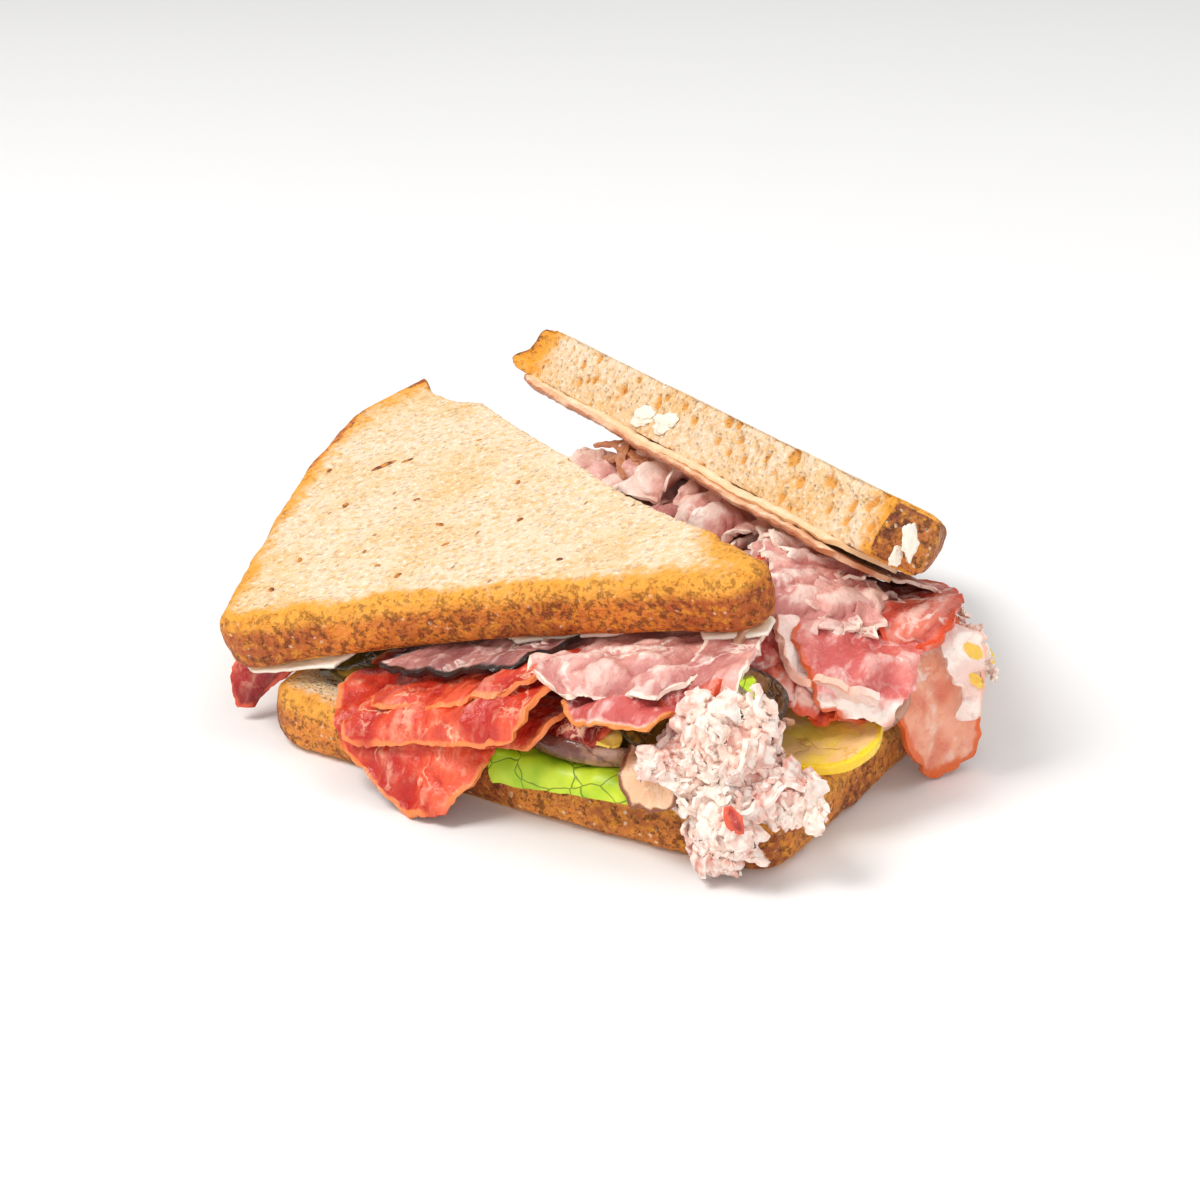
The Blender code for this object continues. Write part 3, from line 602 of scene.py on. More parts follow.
class Looks:
    """Makes the sandwich's materials."""

    def __init__(self) -> None:
        """Build the shared effects."""
        self.effects = Effects()
        self.made: dict[str, bpy.types.Material] = {}

    def _start(self, name: str) -> tuple[bpy.types.Material, Nodes, bpy.types.NodeSocket, bpy.types.Node]:
        """Start a material.

        Args:
            name: Its name.

        Returns:
            The material, its node maker, the pattern's coordinates and the shader.
        """
        look = bpy.data.materials.new(name)
        look.use_nodes = True
        make = Nodes(look.node_tree)
        where = make.add("ShaderNodeTexCoord").outputs["Object"]
        shader = look.node_tree.nodes["Principled BSDF"]
        return look, make, where, shader

    def _group(
        self, make: Nodes, tree: bpy.types.NodeTree, where: bpy.types.NodeSocket, **values: float
    ) -> bpy.types.NodeSocket:
        """Place a shared effect in a material.

        Args:
            make: The material's node maker.
            tree: The effect.
            where: The pattern's coordinates.
            **values: The effect's inputs, with _ for a space.

        Returns:
            The effect's output socket.
        """
        node = make.add("ShaderNodeGroup", node_tree=tree)
        make.tree.links.new(where, node.inputs["Vector"])
        for name, value in values.items():
            node.inputs[name.replace("_", " ")].default_value = value
        return node.outputs[0]

    def _relief(self, make: Nodes, shader: bpy.types.Node, height: object, depth: float) -> None:
        """Join a bump to the shader.

        Args:
            make: The material's node maker.
            shader: The Principled shader.
            height: The height's socket.
            depth: How deep the bumps are, in metres.
        """
        bump = make.add("ShaderNodeBump", {"Strength": 1.0, "Distance": depth, "Height": height})
        make.tree.links.new(bump.outputs[0], shader.inputs["Normal"])

    def _glow(self, shader: bpy.types.Node, share: float, reach: Point) -> None:
        """Let light into the food.

        Args:
            shader: The Principled shader.
            share: How much of the light goes in.
            reach: How far its red, green and blue go, in metres.
        """
        shader.inputs["Subsurface Weight"].default_value = share
        shader.inputs["Subsurface Radius"].default_value = reach
        shader.inputs["Subsurface Scale"].default_value = 0.5

    def _edge(
        self, make: Nodes, where: bpy.types.NodeSocket, width: float, stored_as: str = "edge_mm"
    ) -> bpy.types.NodeSocket:
        """Give the uneven band along a piece's rim, from its stored distance to the rim.

        Args:
            make: The material's node maker.
            where: The pattern's coordinates.
            width: The band's width in millimetres.
            stored_as: The name that the distance is stored under.

        Returns:
            The band's mask.
        """
        stored = make.stored(stored_as)
        wobble = make.noise(where, 260.0)
        reach = make.math("ADD", stored,
                          make.math("MULTIPLY", make.math("SUBTRACT", wobble, 0.5), width * 1.6))
        return make.ramp(reach, width * 0.45, width * 1.1, 1.0, 0.0)

    def meat(self, finish: MeatFinish) -> bpy.types.Material:
        """Make a sliced meat's material.

        Args:
            finish: The meat's values.

        Returns:
            The material, made once.
        """
        if finish.name in self.made:
            return self.made[finish.name]
        look, make, where, shader = self._start(finish.name)
        fibres = make.add("ShaderNodeMapping", {"Vector": where, "Scale": (1.5, 0.5, 0.7)}).outputs[0]
        patches = make.noise(fibres, 62.0, 4.0)
        colour = make.mix(make.ramp(patches, 0.34, 0.62), finish.deep, finish.body)
        fine = make.noise(fibres, 420.0, 4.0)
        colour = make.mix(make.ramp(fine, 0.54, 0.76, 0.0, finish.flecks), colour, finish.pale)
        colour = make.mix(make.ramp(fine, 0.46, 0.3, 0.0, 0.4), colour, finish.deep)
        if finish.streaks:
            veins = self._group(
                make, self.effects.veining, where, Scale=finish.streak_scale, Width=finish.streaks,
                Warp=0.012
            )
            faint = make.noise(where, 55.0)
            veins = make.math("MULTIPLY", veins, make.ramp(faint, 0.42, 0.62))
            colour = make.mix(veins, colour, finish.pale)
        # Painted shade: the valleys of the folds, read from the stored fold height, are darkened towards the
        # deep colour.
        fold = make.stored("fold")
        low = make.math("MULTIPLY", make.ramp(fold, 0.12, 0.5, 1.0, 0.0), finish.valley)
        colour = make.mix(low, colour, finish.deep)
        # Painted highlight: the ridges of the folds are paled towards the pale colour.
        high = make.math("ADD", fold, make.math("MULTIPLY", make.math("SUBTRACT", fine, 0.5), 0.5))
        colour = make.mix(make.math("MULTIPLY", make.ramp(high, 0.58, 0.86), finish.ridge), colour,
                          finish.pale)
        if finish.fat_mm:
            colour = make.mix(self._edge(make, where, finish.fat_mm, "tip_mm"), colour, finish.pale)
        rim = self._edge(make, where, finish.rim_mm)
        gaps = make.noise(where, 60.0, 1.0)
        part = 0.62 - 0.34 * finish.rim_share
        rim = make.math("MULTIPLY", rim, make.ramp(gaps, part - 0.06, part + 0.06))
        colour = make.mix(rim, colour, finish.rim)
        make.tree.links.new(colour, shader.inputs["Base Color"])
        shine = make.ramp(fine, 0.35, 0.7, finish.roughness - 0.1, finish.roughness + 0.16)
        make.tree.links.new(shine, shader.inputs["Roughness"])
        shader.inputs["Specular IOR Level"].default_value = 0.5
        self._glow(shader, 0.08, (0.004, 0.0015, 0.001))
        height = self._group(make, self.effects.grain, where, Scale=1100.0, Broad_Scale=260.0, Broad=1.2)
        self._relief(make, shader, height, finish.bump)
        self.made[finish.name] = look
        return look

    def bread(self, finish: BreadFinish) -> bpy.types.Material:
        """Make the bread's material, which reads how near the crust a point is and how deep in a pore, where
        it paints shade.

        Args:
            finish: The loaf's values.

        Returns:
            The material.
        """
        look, make, where, shader = self._start(finish.name)
        crust = make.stored("crust")
        pit = make.stored("pit")
        broad = make.noise(where, 48.0, 4.0)
        fine = make.noise(where, 520.0, 4.0)
        grit = make.noise(where, 950.0, 3.0)
        crumb = make.mix(make.ramp(broad, 0.42, 0.68, 0.0, 0.75), finish.crumb, finish.crumb_warm)
        crumb = make.mix(make.ramp(fine, 0.47, 0.68, 0.0, 0.85), crumb, finish.crumb_warm)
        # Painted highlights: fine white flecks on the crumb's grain.
        crumb = make.mix(make.ramp(grit, 0.5, 0.3, 0.0, 0.6), crumb, srgb(255, 244, 226))
        holes = self._group(make, self.effects.specks, where, Scale=430.0, Size=0.4, Amount=0.3)
        # Painted shade: small holes in the crumb are tinted warmer, and sunk in the relief below.
        crumb = make.mix(make.math("MULTIPLY", holes, 0.4), crumb, finish.crumb_warm)
        # Painted shade in the pores of the crumb, by how deep in a pore a point is.
        crumb = make.mix(make.ramp(pit, 0.12, 0.7), crumb, finish.pit)
        uneven = make.math("MULTIPLY", make.math("SUBTRACT", broad, 0.5), 0.7)
        uneven = make.math("ADD", uneven, make.math("MULTIPLY", make.math("SUBTRACT", fine, 0.5), 0.6))
        golden = make.ramp(make.math("ADD", crust, uneven), 0.06, 0.56, 0.0, 0.92)
        colour = make.mix(golden, crumb, finish.golden)
        baked = make.mix(make.ramp(broad, 0.42, 0.6), finish.crust, finish.crust_dark)
        baked = make.mix(make.ramp(fine, 0.45, 0.7, 0.0, 0.65), baked, finish.golden)
        baked = make.mix(make.ramp(grit, 0.52, 0.72, 0.0, 0.75), baked, finish.crust_dark)
        # Dark dents in the crust: its own darker spots, with painted shade in the dents that the relief
        # sinks.
        blisters = make.add("ShaderNodeTexNoise",
                            {"Vector": where, "Scale": 480.0, "Detail": 6.0, "Roughness": 0.7})
        dents = make.ramp(blisters.outputs[0], 0.54, 0.64)
        baked = make.mix(make.math("MULTIPLY", dents, 0.6), baked, finish.crust_dark)
        brown = make.ramp(make.math("ADD", crust, make.math("MULTIPLY", uneven, 0.9)), 0.62, 0.92)
        colour = make.mix(brown, colour, baked)
        bran = self._group(make, self.effects.specks, where, Scale=330.0, Size=0.24, Amount=0.014)
        stretched = make.add("ShaderNodeMapping", {"Vector": where, "Scale": (1.0, 0.45, 0.8)}).outputs[0]
        flecks = self._group(make, self.effects.specks, stretched, Scale=600.0, Size=0.3, Amount=0.009)
        spots = make.math("MAXIMUM", bran, flecks)
        colour = make.mix(make.math("MULTIPLY", spots, 0.75), colour, finish.bran)
        dust = self._group(make, self.effects.specks, where, Scale=800.0, Size=0.45, Amount=finish.dust)
        colour = make.mix(make.math("MULTIPLY", make.math("MULTIPLY", dust, brown), 0.5), colour,
                          finish.flour)
        make.tree.links.new(colour, shader.inputs["Base Color"])
        make.tree.links.new(make.ramp(crust, 0.4, 1.0, 0.9, 0.6), shader.inputs["Roughness"])
        self._glow(shader, 0.08, (0.003, 0.002, 0.001))
        pores = make.add("ShaderNodeTexVoronoi", {"Vector": where, "Scale": 620.0}).outputs["Distance"]
        height = self._group(make, self.effects.grain, where, Scale=1500.0, Broad_Scale=420.0, Broad=1.0)
        height = make.math("ADD", height, make.ramp(pores, 0.0, 0.45))
        height = make.math("SUBTRACT", height,
                           make.math("MULTIPLY", holes, make.ramp(crust, 0.1, 0.5, 0.4, 0.0)))
        height = make.math("SUBTRACT", height,
                           make.math("MULTIPLY", dents, make.ramp(crust, 0.4, 0.8, 0.0, 1.4)))
        self._relief(make, shader, height, 0.0006)
        return look

    def wet(self, finish: WetFinish) -> bpy.types.Material:
        """Make a wet vegetable's material.

        Args:
            finish: The vegetable's values.

        Returns:
            The material, made once.
        """
        if finish.name in self.made:
            return self.made[finish.name]
        look, make, where, shader = self._start(finish.name)
        patches = make.noise(where, finish.patch_scale, 3.0)
        colour = make.mix(make.ramp(patches, 0.4, 0.64), finish.body, finish.patch)
        lines = self._group(
            make, self.effects.veining, where, Scale=finish.line_scale, Width=finish.line_width, Warp=0.006
        )
        colour = make.mix(make.math("MULTIPLY", lines, 0.8), colour, finish.line)
        colour = make.mix(self._edge(make, where, finish.rim_mm), colour, finish.rim)
        make.tree.links.new(colour, shader.inputs["Base Color"])
        make.tree.links.new(
            make.ramp(patches, 0.35, 0.7, finish.roughness - 0.08, finish.roughness + 0.14),
            shader.inputs["Roughness"]
        )
        shader.inputs["Coat Weight"].default_value = finish.coat
        shader.inputs["Coat Roughness"].default_value = 0.12
        self._glow(shader, 0.15, (0.003, 0.002, 0.0008))
        height = self._group(make, self.effects.grain, where, Scale=700.0, Broad_Scale=200.0, Broad=1.5)
        height = make.math("SUBTRACT", height, make.math("MULTIPLY", lines, 0.6))
        self._relief(make, shader, height, finish.bump)
        self.made[finish.name] = look
        return look

    def leaf(self) -> bpy.types.Material:
        """Make the green leaf's material: a net of veins over a waxy surface.

        Returns:
            The material.
        """
        look, make, where, shader = self._start("leaf_green")
        bend = make.add("ShaderNodeTexNoise",
                        {"Vector": where, "Scale": 90.0, "Detail": 2.0}).outputs["Color"]
        moved = make.add("ShaderNodeVectorMath", {0: bend, "Scale": 0.006}, operation="SCALE").outputs[0]
        place = make.add("ShaderNodeVectorMath", {0: where, 1: moved}, operation="ADD").outputs[0]
        net = make.add("ShaderNodeTexVoronoi", {"Vector": place, "Scale": 110.0},
                       feature="DISTANCE_TO_EDGE").outputs[0]
        vein = make.ramp(net, 0.0, 0.024, 1.0, 0.0)
        patches = make.noise(where, 85.0, 3.0)
        colour = make.mix(make.ramp(patches, 0.38, 0.66), srgb(154, 190, 12), srgb(204, 222, 48))
        colour = make.mix(make.ramp(net, 0.05, 0.5, 0.0, 0.35), colour, srgb(220, 234, 76))
        colour = make.mix(make.math("MULTIPLY", vein, 0.85), colour, srgb(78, 112, 8))
        make.tree.links.new(colour, shader.inputs["Base Color"])
        shader.inputs["Roughness"].default_value = 0.45
        shader.inputs["Coat Weight"].default_value = 0.1
        self._glow(shader, 0.15, (0.001, 0.003, 0.0008))
        height = make.math("SUBTRACT", make.ramp(net, 0.0, 0.35), make.math("MULTIPLY", vein, 0.5))
        self._relief(make, shader, height, 0.00022)
        return look

    def spread(self) -> bpy.types.Material:
        """Make the mayonnaise's material.

        Returns:
            The material.
        """
        look, make, where, shader = self._start("mayonnaise")
        patches = make.noise(where, 120.0)
        colour = make.mix(patches, srgb(255, 250, 238), srgb(250, 238, 214))
        make.tree.links.new(colour, shader.inputs["Base Color"])
        shader.inputs["Roughness"].default_value = 0.28
        shader.inputs["Coat Weight"].default_value = 0.2
        self._glow(shader, 0.2, (0.003, 0.0025, 0.002))
        height = self._group(make, self.effects.grain, where, Scale=260.0, Broad_Scale=110.0, Broad=1.0)
        self._relief(make, shader, height, 0.0005)
        return look

    def bran(self) -> bpy.types.Material:
        """Make the bran flakes' material.

        Returns:
            The material.
        """
        look, make, where, shader = self._start("bran_brown")
        patches = make.noise(where, 500.0)
        colour = make.mix(make.ramp(patches, 0.4, 0.65), srgb(112, 58, 20), srgb(204, 132, 50))
        make.tree.links.new(colour, shader.inputs["Base Color"])
        shader.inputs["Roughness"].default_value = 0.6
        return look

    def floor(self) -> bpy.types.Material:
        """Make the pale floor's material.

        Returns:
            The material.
        """
        look, make, where, shader = self._start("floor_pale")
        grain = make.noise(where, 3.0)
        colour = make.mix(grain, (0.9, 0.9, 0.9), (0.93, 0.93, 0.93))
        make.tree.links.new(colour, shader.inputs["Base Color"])
        shader.inputs["Roughness"].default_value = 0.85
        return look


SALAMI = MeatFinish("salami_red", Slot.SALAMI, srgb(234, 88, 54), srgb(184, 30, 20), srgb(252, 196, 160),
                    srgb(240, 134, 74), rim_mm=1.3, streaks=0.025, streak_scale=85.0, ridge=0.25,
                    flecks=0.3)
SALAMI_DARK = replace(SALAMI, name="salami_dark_red", body=srgb(184, 38, 36), deep=srgb(130, 12, 18),
                      rim=srgb(214, 84, 52), ridge=0.2)
BEEF = MeatFinish("beef_pink", Slot.BEEF, srgb(232, 172, 160), srgb(192, 116, 110), srgb(253, 236, 224),
                  srgb(252, 228, 212), rim_mm=0.8, streaks=0.03, streak_scale=60.0, ridge=0.42, valley=0.75,
                  flecks=0.3)
BEEF_PALE = replace(BEEF, name="beef_pale", body=srgb(252, 214, 200), deep=srgb(218, 152, 142), ridge=0.6,
                    valley=0.6)
BEEF_SMOKED = replace(BEEF, name="beef_smoked_edge", body=srgb(190, 130, 124), deep=srgb(138, 80, 80),
                      rim=srgb(36, 22, 20), rim_mm=1.7, ridge=0.3, rim_share=1.0)
PASTRAMI = replace(BEEF, name="pastrami", body=srgb(238, 126, 102), deep=srgb(172, 52, 44),
                   rim=srgb(218, 78, 40), rim_mm=1.7, ridge=0.5, rim_share=0.9)
HAM = MeatFinish("ham_pink", Slot.HAM, srgb(228, 132, 122), srgb(202, 88, 84), srgb(254, 236, 226),
                 srgb(216, 98, 56), rim_mm=1.3, fat_mm=4.5, streaks=0.02, streak_scale=45.0, ridge=0.3)
HAM_LONG = replace(HAM, name="ham_long", body=srgb(244, 172, 140), deep=srgb(222, 112, 84),
                   rim=srgb(226, 104, 44), rim_mm=2.0, fat_mm=0.0, rim_share=0.8, ridge=0.5)
BACON = replace(HAM, name="bacon", body=srgb(206, 96, 84), rim=srgb(236, 142, 72), fat_mm=1.5,
                rim_share=1.0)
FAT = replace(HAM, name="fat_white", body=srgb(254, 240, 230), deep=srgb(244, 206, 196),
              rim=srgb(246, 190, 168), rim_mm=0.8, fat_mm=0.0, streaks=0.0, ridge=0.6)
CHICKEN = MeatFinish("chicken_shredded", Slot.CHICKEN, srgb(253, 222, 206), srgb(222, 154, 138),
                     srgb(255, 246, 236), srgb(250, 234, 224), rim_mm=0.3, streaks=0.0, bump=0.0003,
                     ridge=0.8, valley=0.65)
TURKEY = MeatFinish("turkey_tan", Slot.TURKEY, srgb(240, 196, 158), srgb(228, 172, 130),
                    srgb(250, 224, 196), srgb(190, 118, 78), rim_mm=0.8, streaks=0.02)
TURKEY_EDGE = replace(TURKEY, name="turkey_edge", rim=srgb(134, 78, 50), rim_mm=1.0, rim_share=0.8)
CHEESE = MeatFinish("cheese_cream", Slot.CHEESE, srgb(248, 218, 180), srgb(240, 202, 158),
                    srgb(252, 236, 210), srgb(236, 196, 148), rim_mm=0.7, streaks=0.0, bump=0.0001)
CHEESE_YELLOW = replace(CHEESE, name="cheese_yellow", body=srgb(250, 212, 96), deep=srgb(240, 186, 58),
                        pale=srgb(254, 232, 150), rim=srgb(244, 200, 84))
STRAND = replace(BEEF_SMOKED, name="beef_strand", body=srgb(160, 84, 66), deep=srgb(108, 46, 36),
                 rim=srgb(196, 132, 92))
ONION = WetFinish("onion_brown", Slot.ONION, srgb(186, 136, 106), srgb(208, 164, 134), srgb(104, 58, 46),
                  srgb(126, 74, 56), rim_mm=0.6)
PICKLE = WetFinish("pickle_olive", Slot.PICKLE, srgb(98, 76, 16), srgb(146, 112, 24), srgb(58, 46, 10),
                   srgb(58, 42, 10), bump=0.0004)
PICKLE_BROWN = replace(PICKLE, name="pickle_brown", body=srgb(112, 74, 38), patch=srgb(158, 112, 66),
                       rim=srgb(72, 44, 24), line=srgb(64, 36, 20))
PEPPER = WetFinish("pepper_yellow", Slot.PEPPER, srgb(255, 220, 92), srgb(250, 204, 136),
                   srgb(255, 212, 36), srgb(232, 182, 84), rim_mm=2.0)


# Bread


@dataclass
class BreadSlice:
    """One half slice of bread.

    Attributes:
        name: The piece's name and the solid's.
        corners: Its outline, counter-clockwise: x, y, corner radius, bulge of the side that follows, and if
            that side is crust.
        corner: Where its own frame lies.
        long_way: Its own frame's X.
        normal: Its own frame's Z.
        lean: How far the cut face's top leans back.
        pores: How deep the cut face's pores are, in millimetres.
        seed: Picks its unevenness.
        thick: How thick it is.
        voxel: How fine its mesh is.
        golden: How far the golden band reaches in from the crust.
        golden_rise: How much wider the band gets towards the slice's far end.
        lip: How far one corner of the crust is pulled out.
        lip_at: Where that corner is.
        bake: How brown the top of its crust is.
        dark_from: How far back its rim starts to be dark.
        holes: The large holes of its cut face: how far along the face, how high and how wide.
    """

    name: str
    corners: list[tuple[float, float, float, float, bool]]
    corner: Vector
    long_way: Vector
    normal: Vector
    lean: float = 0.0
    pores: float = 0.5
    seed: float = 1.0
    thick: float = 14.0
    voxel: float = 0.85
    golden: float = 6.0
    golden_rise: float = 0.0
    lip: float = 0.0
    lip_at: tuple[float, float] = (135.0, -0.5)
    # bake: How brown the top of its crust is; below it the crust is painted browner towards the bottom, as
    # shade.
    bake: float = 0.62
    dark_from: float = 999.0
    holes: list[tuple[float, float, float]] = field(default_factory=list)

    def outline(self, spacing: float = 1.6) -> list[tuple[Vector, float]]:
        """Walk round the outline.

        Args:
            spacing: How far apart the points are.

        Returns:
            Each point, with 1 on a crust side and 0 on a cut side.
        """
        count = len(self.corners)
        arcs: list[list[Vector]] = []
        for k, (x, y, radius, _, _) in enumerate(self.corners):
            here = Vector((x, y))
            if not radius:
                arcs.append([here])
                continue
            back = (Vector(self.corners[k - 1][:2]) - here).normalized()
            on = (Vector(self.corners[(k + 1) % count][:2]) - here).normalized()
            half = back.angle(on) / 2
            centre = here + (back + on).normalized() * (radius / math.sin(half))
            start = here + back * (radius / math.tan(half)) - centre
            turn = math.pi - 2 * half
            steps = max(3, round(turn * radius / spacing))
            arcs.append([centre + Matrix.Rotation(turn * i / steps, 2) @ start for i in range(steps + 1)])
        points: list[tuple[Vector, float]] = []
        for k, arc in enumerate(arcs):
            before, here_crust = self.corners[k - 1][4], self.corners[k][4]
            for i, p in enumerate(arc):
                share = i / (len(arc) - 1) if len(arc) > 1 else 0.5
                points.append((p, 1.0 if before and share <= 0.5 or here_crust and share >= 0.5 else 0.0))
            end = arcs[(k + 1) % count][0]
            along = end - arc[-1]
            outward = Vector((along.y, -along.x)).normalized()
            steps = max(1, round(along.length / spacing))
            for i in range(1, steps):
                share = i / steps
                bulge = self.corners[k][3] * 4 * share * (1 - share)
                points.append((arc[-1].lerp(end, share) + outward * bulge, 1.0 if here_crust else 0.0))
        return [p for k, p in enumerate(points) if (p[0] - points[k - 1][0]).length > 0.2]

    def matrix(self) -> Matrix:
        """Give the matrix from the slice's own millimetres to the tables' millimetres."""
        up = self.normal.normalized()
        across = up.cross(self.long_way).normalized()
        along = across.cross(up).normalized()
        return Matrix.Translation(self.corner) @ Matrix((along, across, up)).transposed().to_4x4()

    def blank(self, points: list[tuple[Vector, float]]) -> bpy.types.Object:
        """Cut the plain slab along the outline, in the slice's own millimetres."""
        return fine_slab([p.to_tuple() for p, _ in points], 0.0, self.thick, self.voxel)

    def shape(self, obj: bpy.types.Object, points: list[tuple[Vector, float]]) -> None:
        """Round the slab's edges, sink its pores and store how near the crust each point is.

        Args:
            obj: The fine slab.
            points: The outline.
        """
        mesh = obj.data
        count = len(mesh.vertices)
        place = np.zeros(count * 3)
        mesh.vertices.foreach_get("co", place)
        place = place.reshape(-1, 3)
        ring = np.array([p for p, _ in points])
        after = np.roll(ring, -1, axis=0)
        crust_side = np.array([c for _, c in points])
        run = after - ring
        length = np.maximum((run**2).sum(1), 1e-9)
        nearest = np.full(count, 1e9)
        inward = np.zeros((count, 2))
        crust_near = np.full(count, 1e9)
        for k in range(len(ring)):
            share = np.clip(((place[:, :2] - ring[k]) @ run[k]) / length[k], 0, 1)
            away = place[:, :2] - (ring[k] + share[:, None] * run[k])
            far = np.hypot(away[:, 0], away[:, 1])
            closer = far < nearest
            nearest[closer] = far[closer]
            normal = np.array((-run[k][1], run[k][0])) / math.sqrt(length[k])
            inward[closer] = normal
            if crust_side[k] > 0.5 and crust_side[(k + 1) % len(ring)] > 0.5:
                crust_near = np.minimum(crust_near, far)
        crusts: list[float] = []
        pits: list[float] = []
        done = np.empty_like(place)
        for i in range(count):
            x, y, z = place[i]
            depth = float(nearest[i])
            on_crust = 1.0 - smoothstep(0.0, 2.0, float(crust_near[i]) - depth)
            here = Vector((x, y, z))
            wide = rough(here, 12.0, self.seed)
            radius = (3.2 + 0.8 * wide) * on_crust + 0.7 * (1 - on_crust)
            up = self.thick - z
            a, b = radius - depth, radius - min(z, up)
            move_in = drop = 0.0
            if a > 0 and b > 0:
                shrink = radius / max(math.hypot(a, b), 1e-6)
                if shrink < 1:
                    move_in, drop = a * (1 - shrink), b * (1 - shrink)
            side = 1.0 - smoothstep(0.3, 1.2, depth)
            flat = 1.0 - side
            middle = 4 * z * up / self.thick**2
            swell = 0.9 * middle + 0.7 * rough(here, 8.0, self.seed + 2)
            swell += 0.38 * rough(here, 2.6, self.seed)
            swell *= on_crust * side
            cut = side * (1 - on_crust)
            pore = self.pore(here, 4.2, 0.3) * (cut + 0.1 * flat)
            pore += self.pore(here, 2.2, 0.45) * (0.6 * cut + 0.3 * flat)
            sink = self.pores * pore + cut * 0.3 * rough(here, 4.0, self.seed + 5)
            for far_along, high, wide_mm in self.holes:
                across, back_along = (s + r * far_along for s, r in zip(CUT_CORNER, CUT_RUN))
                middle_of = Vector((across, back_along, high))
                reached = (here - middle_of).length / wide_mm + 0.3 * rough(here, 1.5)
                hole = 1.0 - smoothstep(0.35, 1.0, reached)
                sink += 1.5 * hole * cut
                pore = max(pore, hole)
            back = cut * self.lean * z / self.thick
            shove = move_in - swell + sink * side + back
            sign = 1.0 if z > self.thick / 2 else -1.0
            grain = 0.12 * rough(here, 3.0, self.seed + 7)
            lift = flat * (0.35 * wide * (0 if sign < 0 else 1) + grain - sink * 0.6)
            if sign < 0:
                lift *= 0.3
            if self.lip:
                gap = math.hypot(x - self.lip_at[0], y - self.lip_at[1])
                low_part = 1.0 - smoothstep(2.0, 7.0, z + 2 * wide)
                x += self.lip * (1.0 - smoothstep(0.0, 9.0, gap)) * low_part
            done[i] = (
                x + inward[i][0] * shove,
                y + inward[i][1] * shove,
                z - sign * drop + sign * lift,
            )
            reach = float(crust_near[i]) + 2.0 * rough(here, 6.0, self.seed + 9)
            widened = self.golden_rise * (max(x - 90.0, 0.0) + 0.4 * max(y, 0.0))
            band = 0.58 * (1.0 - smoothstep(0.3, self.golden + widened, reach))
            # Painted shade: the crust is painted browner towards the bottom of the slice.
            low_down = smoothstep(0.1, 0.5, 1.0 - z / self.thick)
            rind = side * on_crust * (self.bake + (1 - self.bake) * low_down)
            if y > self.dark_from and reach < 3.6 + 1.2 * wide:
                rind = max(rind, 0.97)
            rind += (1 - side) * on_crust * 0.3 * (1.0 - smoothstep(1.0, 2.6, depth))
            crusts.append(max(band, rind))
            # How deep in a pore a point of the crumb is, which the material paints as shade.
            pits.append(min(pore * (1 - on_crust), 1.0))
        mesh.vertices.foreach_set("co", done.reshape(-1))
        mesh.update()
        store(obj, "crust", crusts)
        store(obj, "pit", pits)

    def pore(self, here: Vector, size: float, share: float) -> float:
        """Give how deep in a pore of the crumb a point is.

        Args:
            here: The point, in the slice's own millimetres.
            size: How far apart the pores are.
            share: How many of them there are.

        Returns:
            0 outside a pore, up to 1 in its middle.
        """
        spot = here / size + Vector((self.seed * 5.3, 0, 0))
        near, places = noise.voronoi(spot)
        if noise.noise(Vector(places[0]) * 3.7) > share - 0.42:
            return 0.0
        return 1.0 - smoothstep(0.12, 0.5, near[0])

    def make(self, layout: Layout, look: bpy.types.Material) -> bpy.types.Object:
        """Build the slice and put it in place.

        Args:
            layout: Where the tables' frame lies.
            look: The bread's material.

        Returns:
            The finished slice.
        """
        points = self.outline()
        obj = self.blank(points)
        self.shape(obj, points)
        turn = self.matrix()
        floor = layout.shift.z
        for vertex in obj.data.vertices:
            vertex.co = layout.place(turn @ vertex.co)
            if vertex.co.z < floor:
                vertex.co.z = floor
        smooth_shade(obj, 180)
        hand_over(obj, self.name + "_crumb", look, Slot.BREAD, self.name)
        return obj


# A slice of the loaf: its length and depth, how far the cut starts from its corner and the gap at the cut.
SLICE_LONG, SLICE_DEEP, CUT_OFFSET, HALF_GAP = 133.0, 123.0, 13.0, 2.6
# The right top slice's cut side in its own frame: where it starts and the way it runs.
CUT_CORNER = (SLICE_LONG + 2, -0.5)
CUT_RUN = (-0.7057, 0.7085)
# The same side seen from above, the slice's place and the true lower edge of its cut face.
CUT_START = Vector((-15.0, 142.0, 0.0))
CUT_ALONG = Vector((0.865, -0.5, 0.0))
CUT_OUT = Vector((-0.5, -0.865, 0.0))
RIGHT_TOP_CORNER = Vector((109.4, 159.3, 3.6))
RIGHT_TOP_NORMAL = Vector((0.247, 0.453, 0.857))
CUT_EDGE_START = Vector((-16.7, 142.4, 48.8))
CUT_EDGE = Vector((0.844, -0.5345, 0.0396))


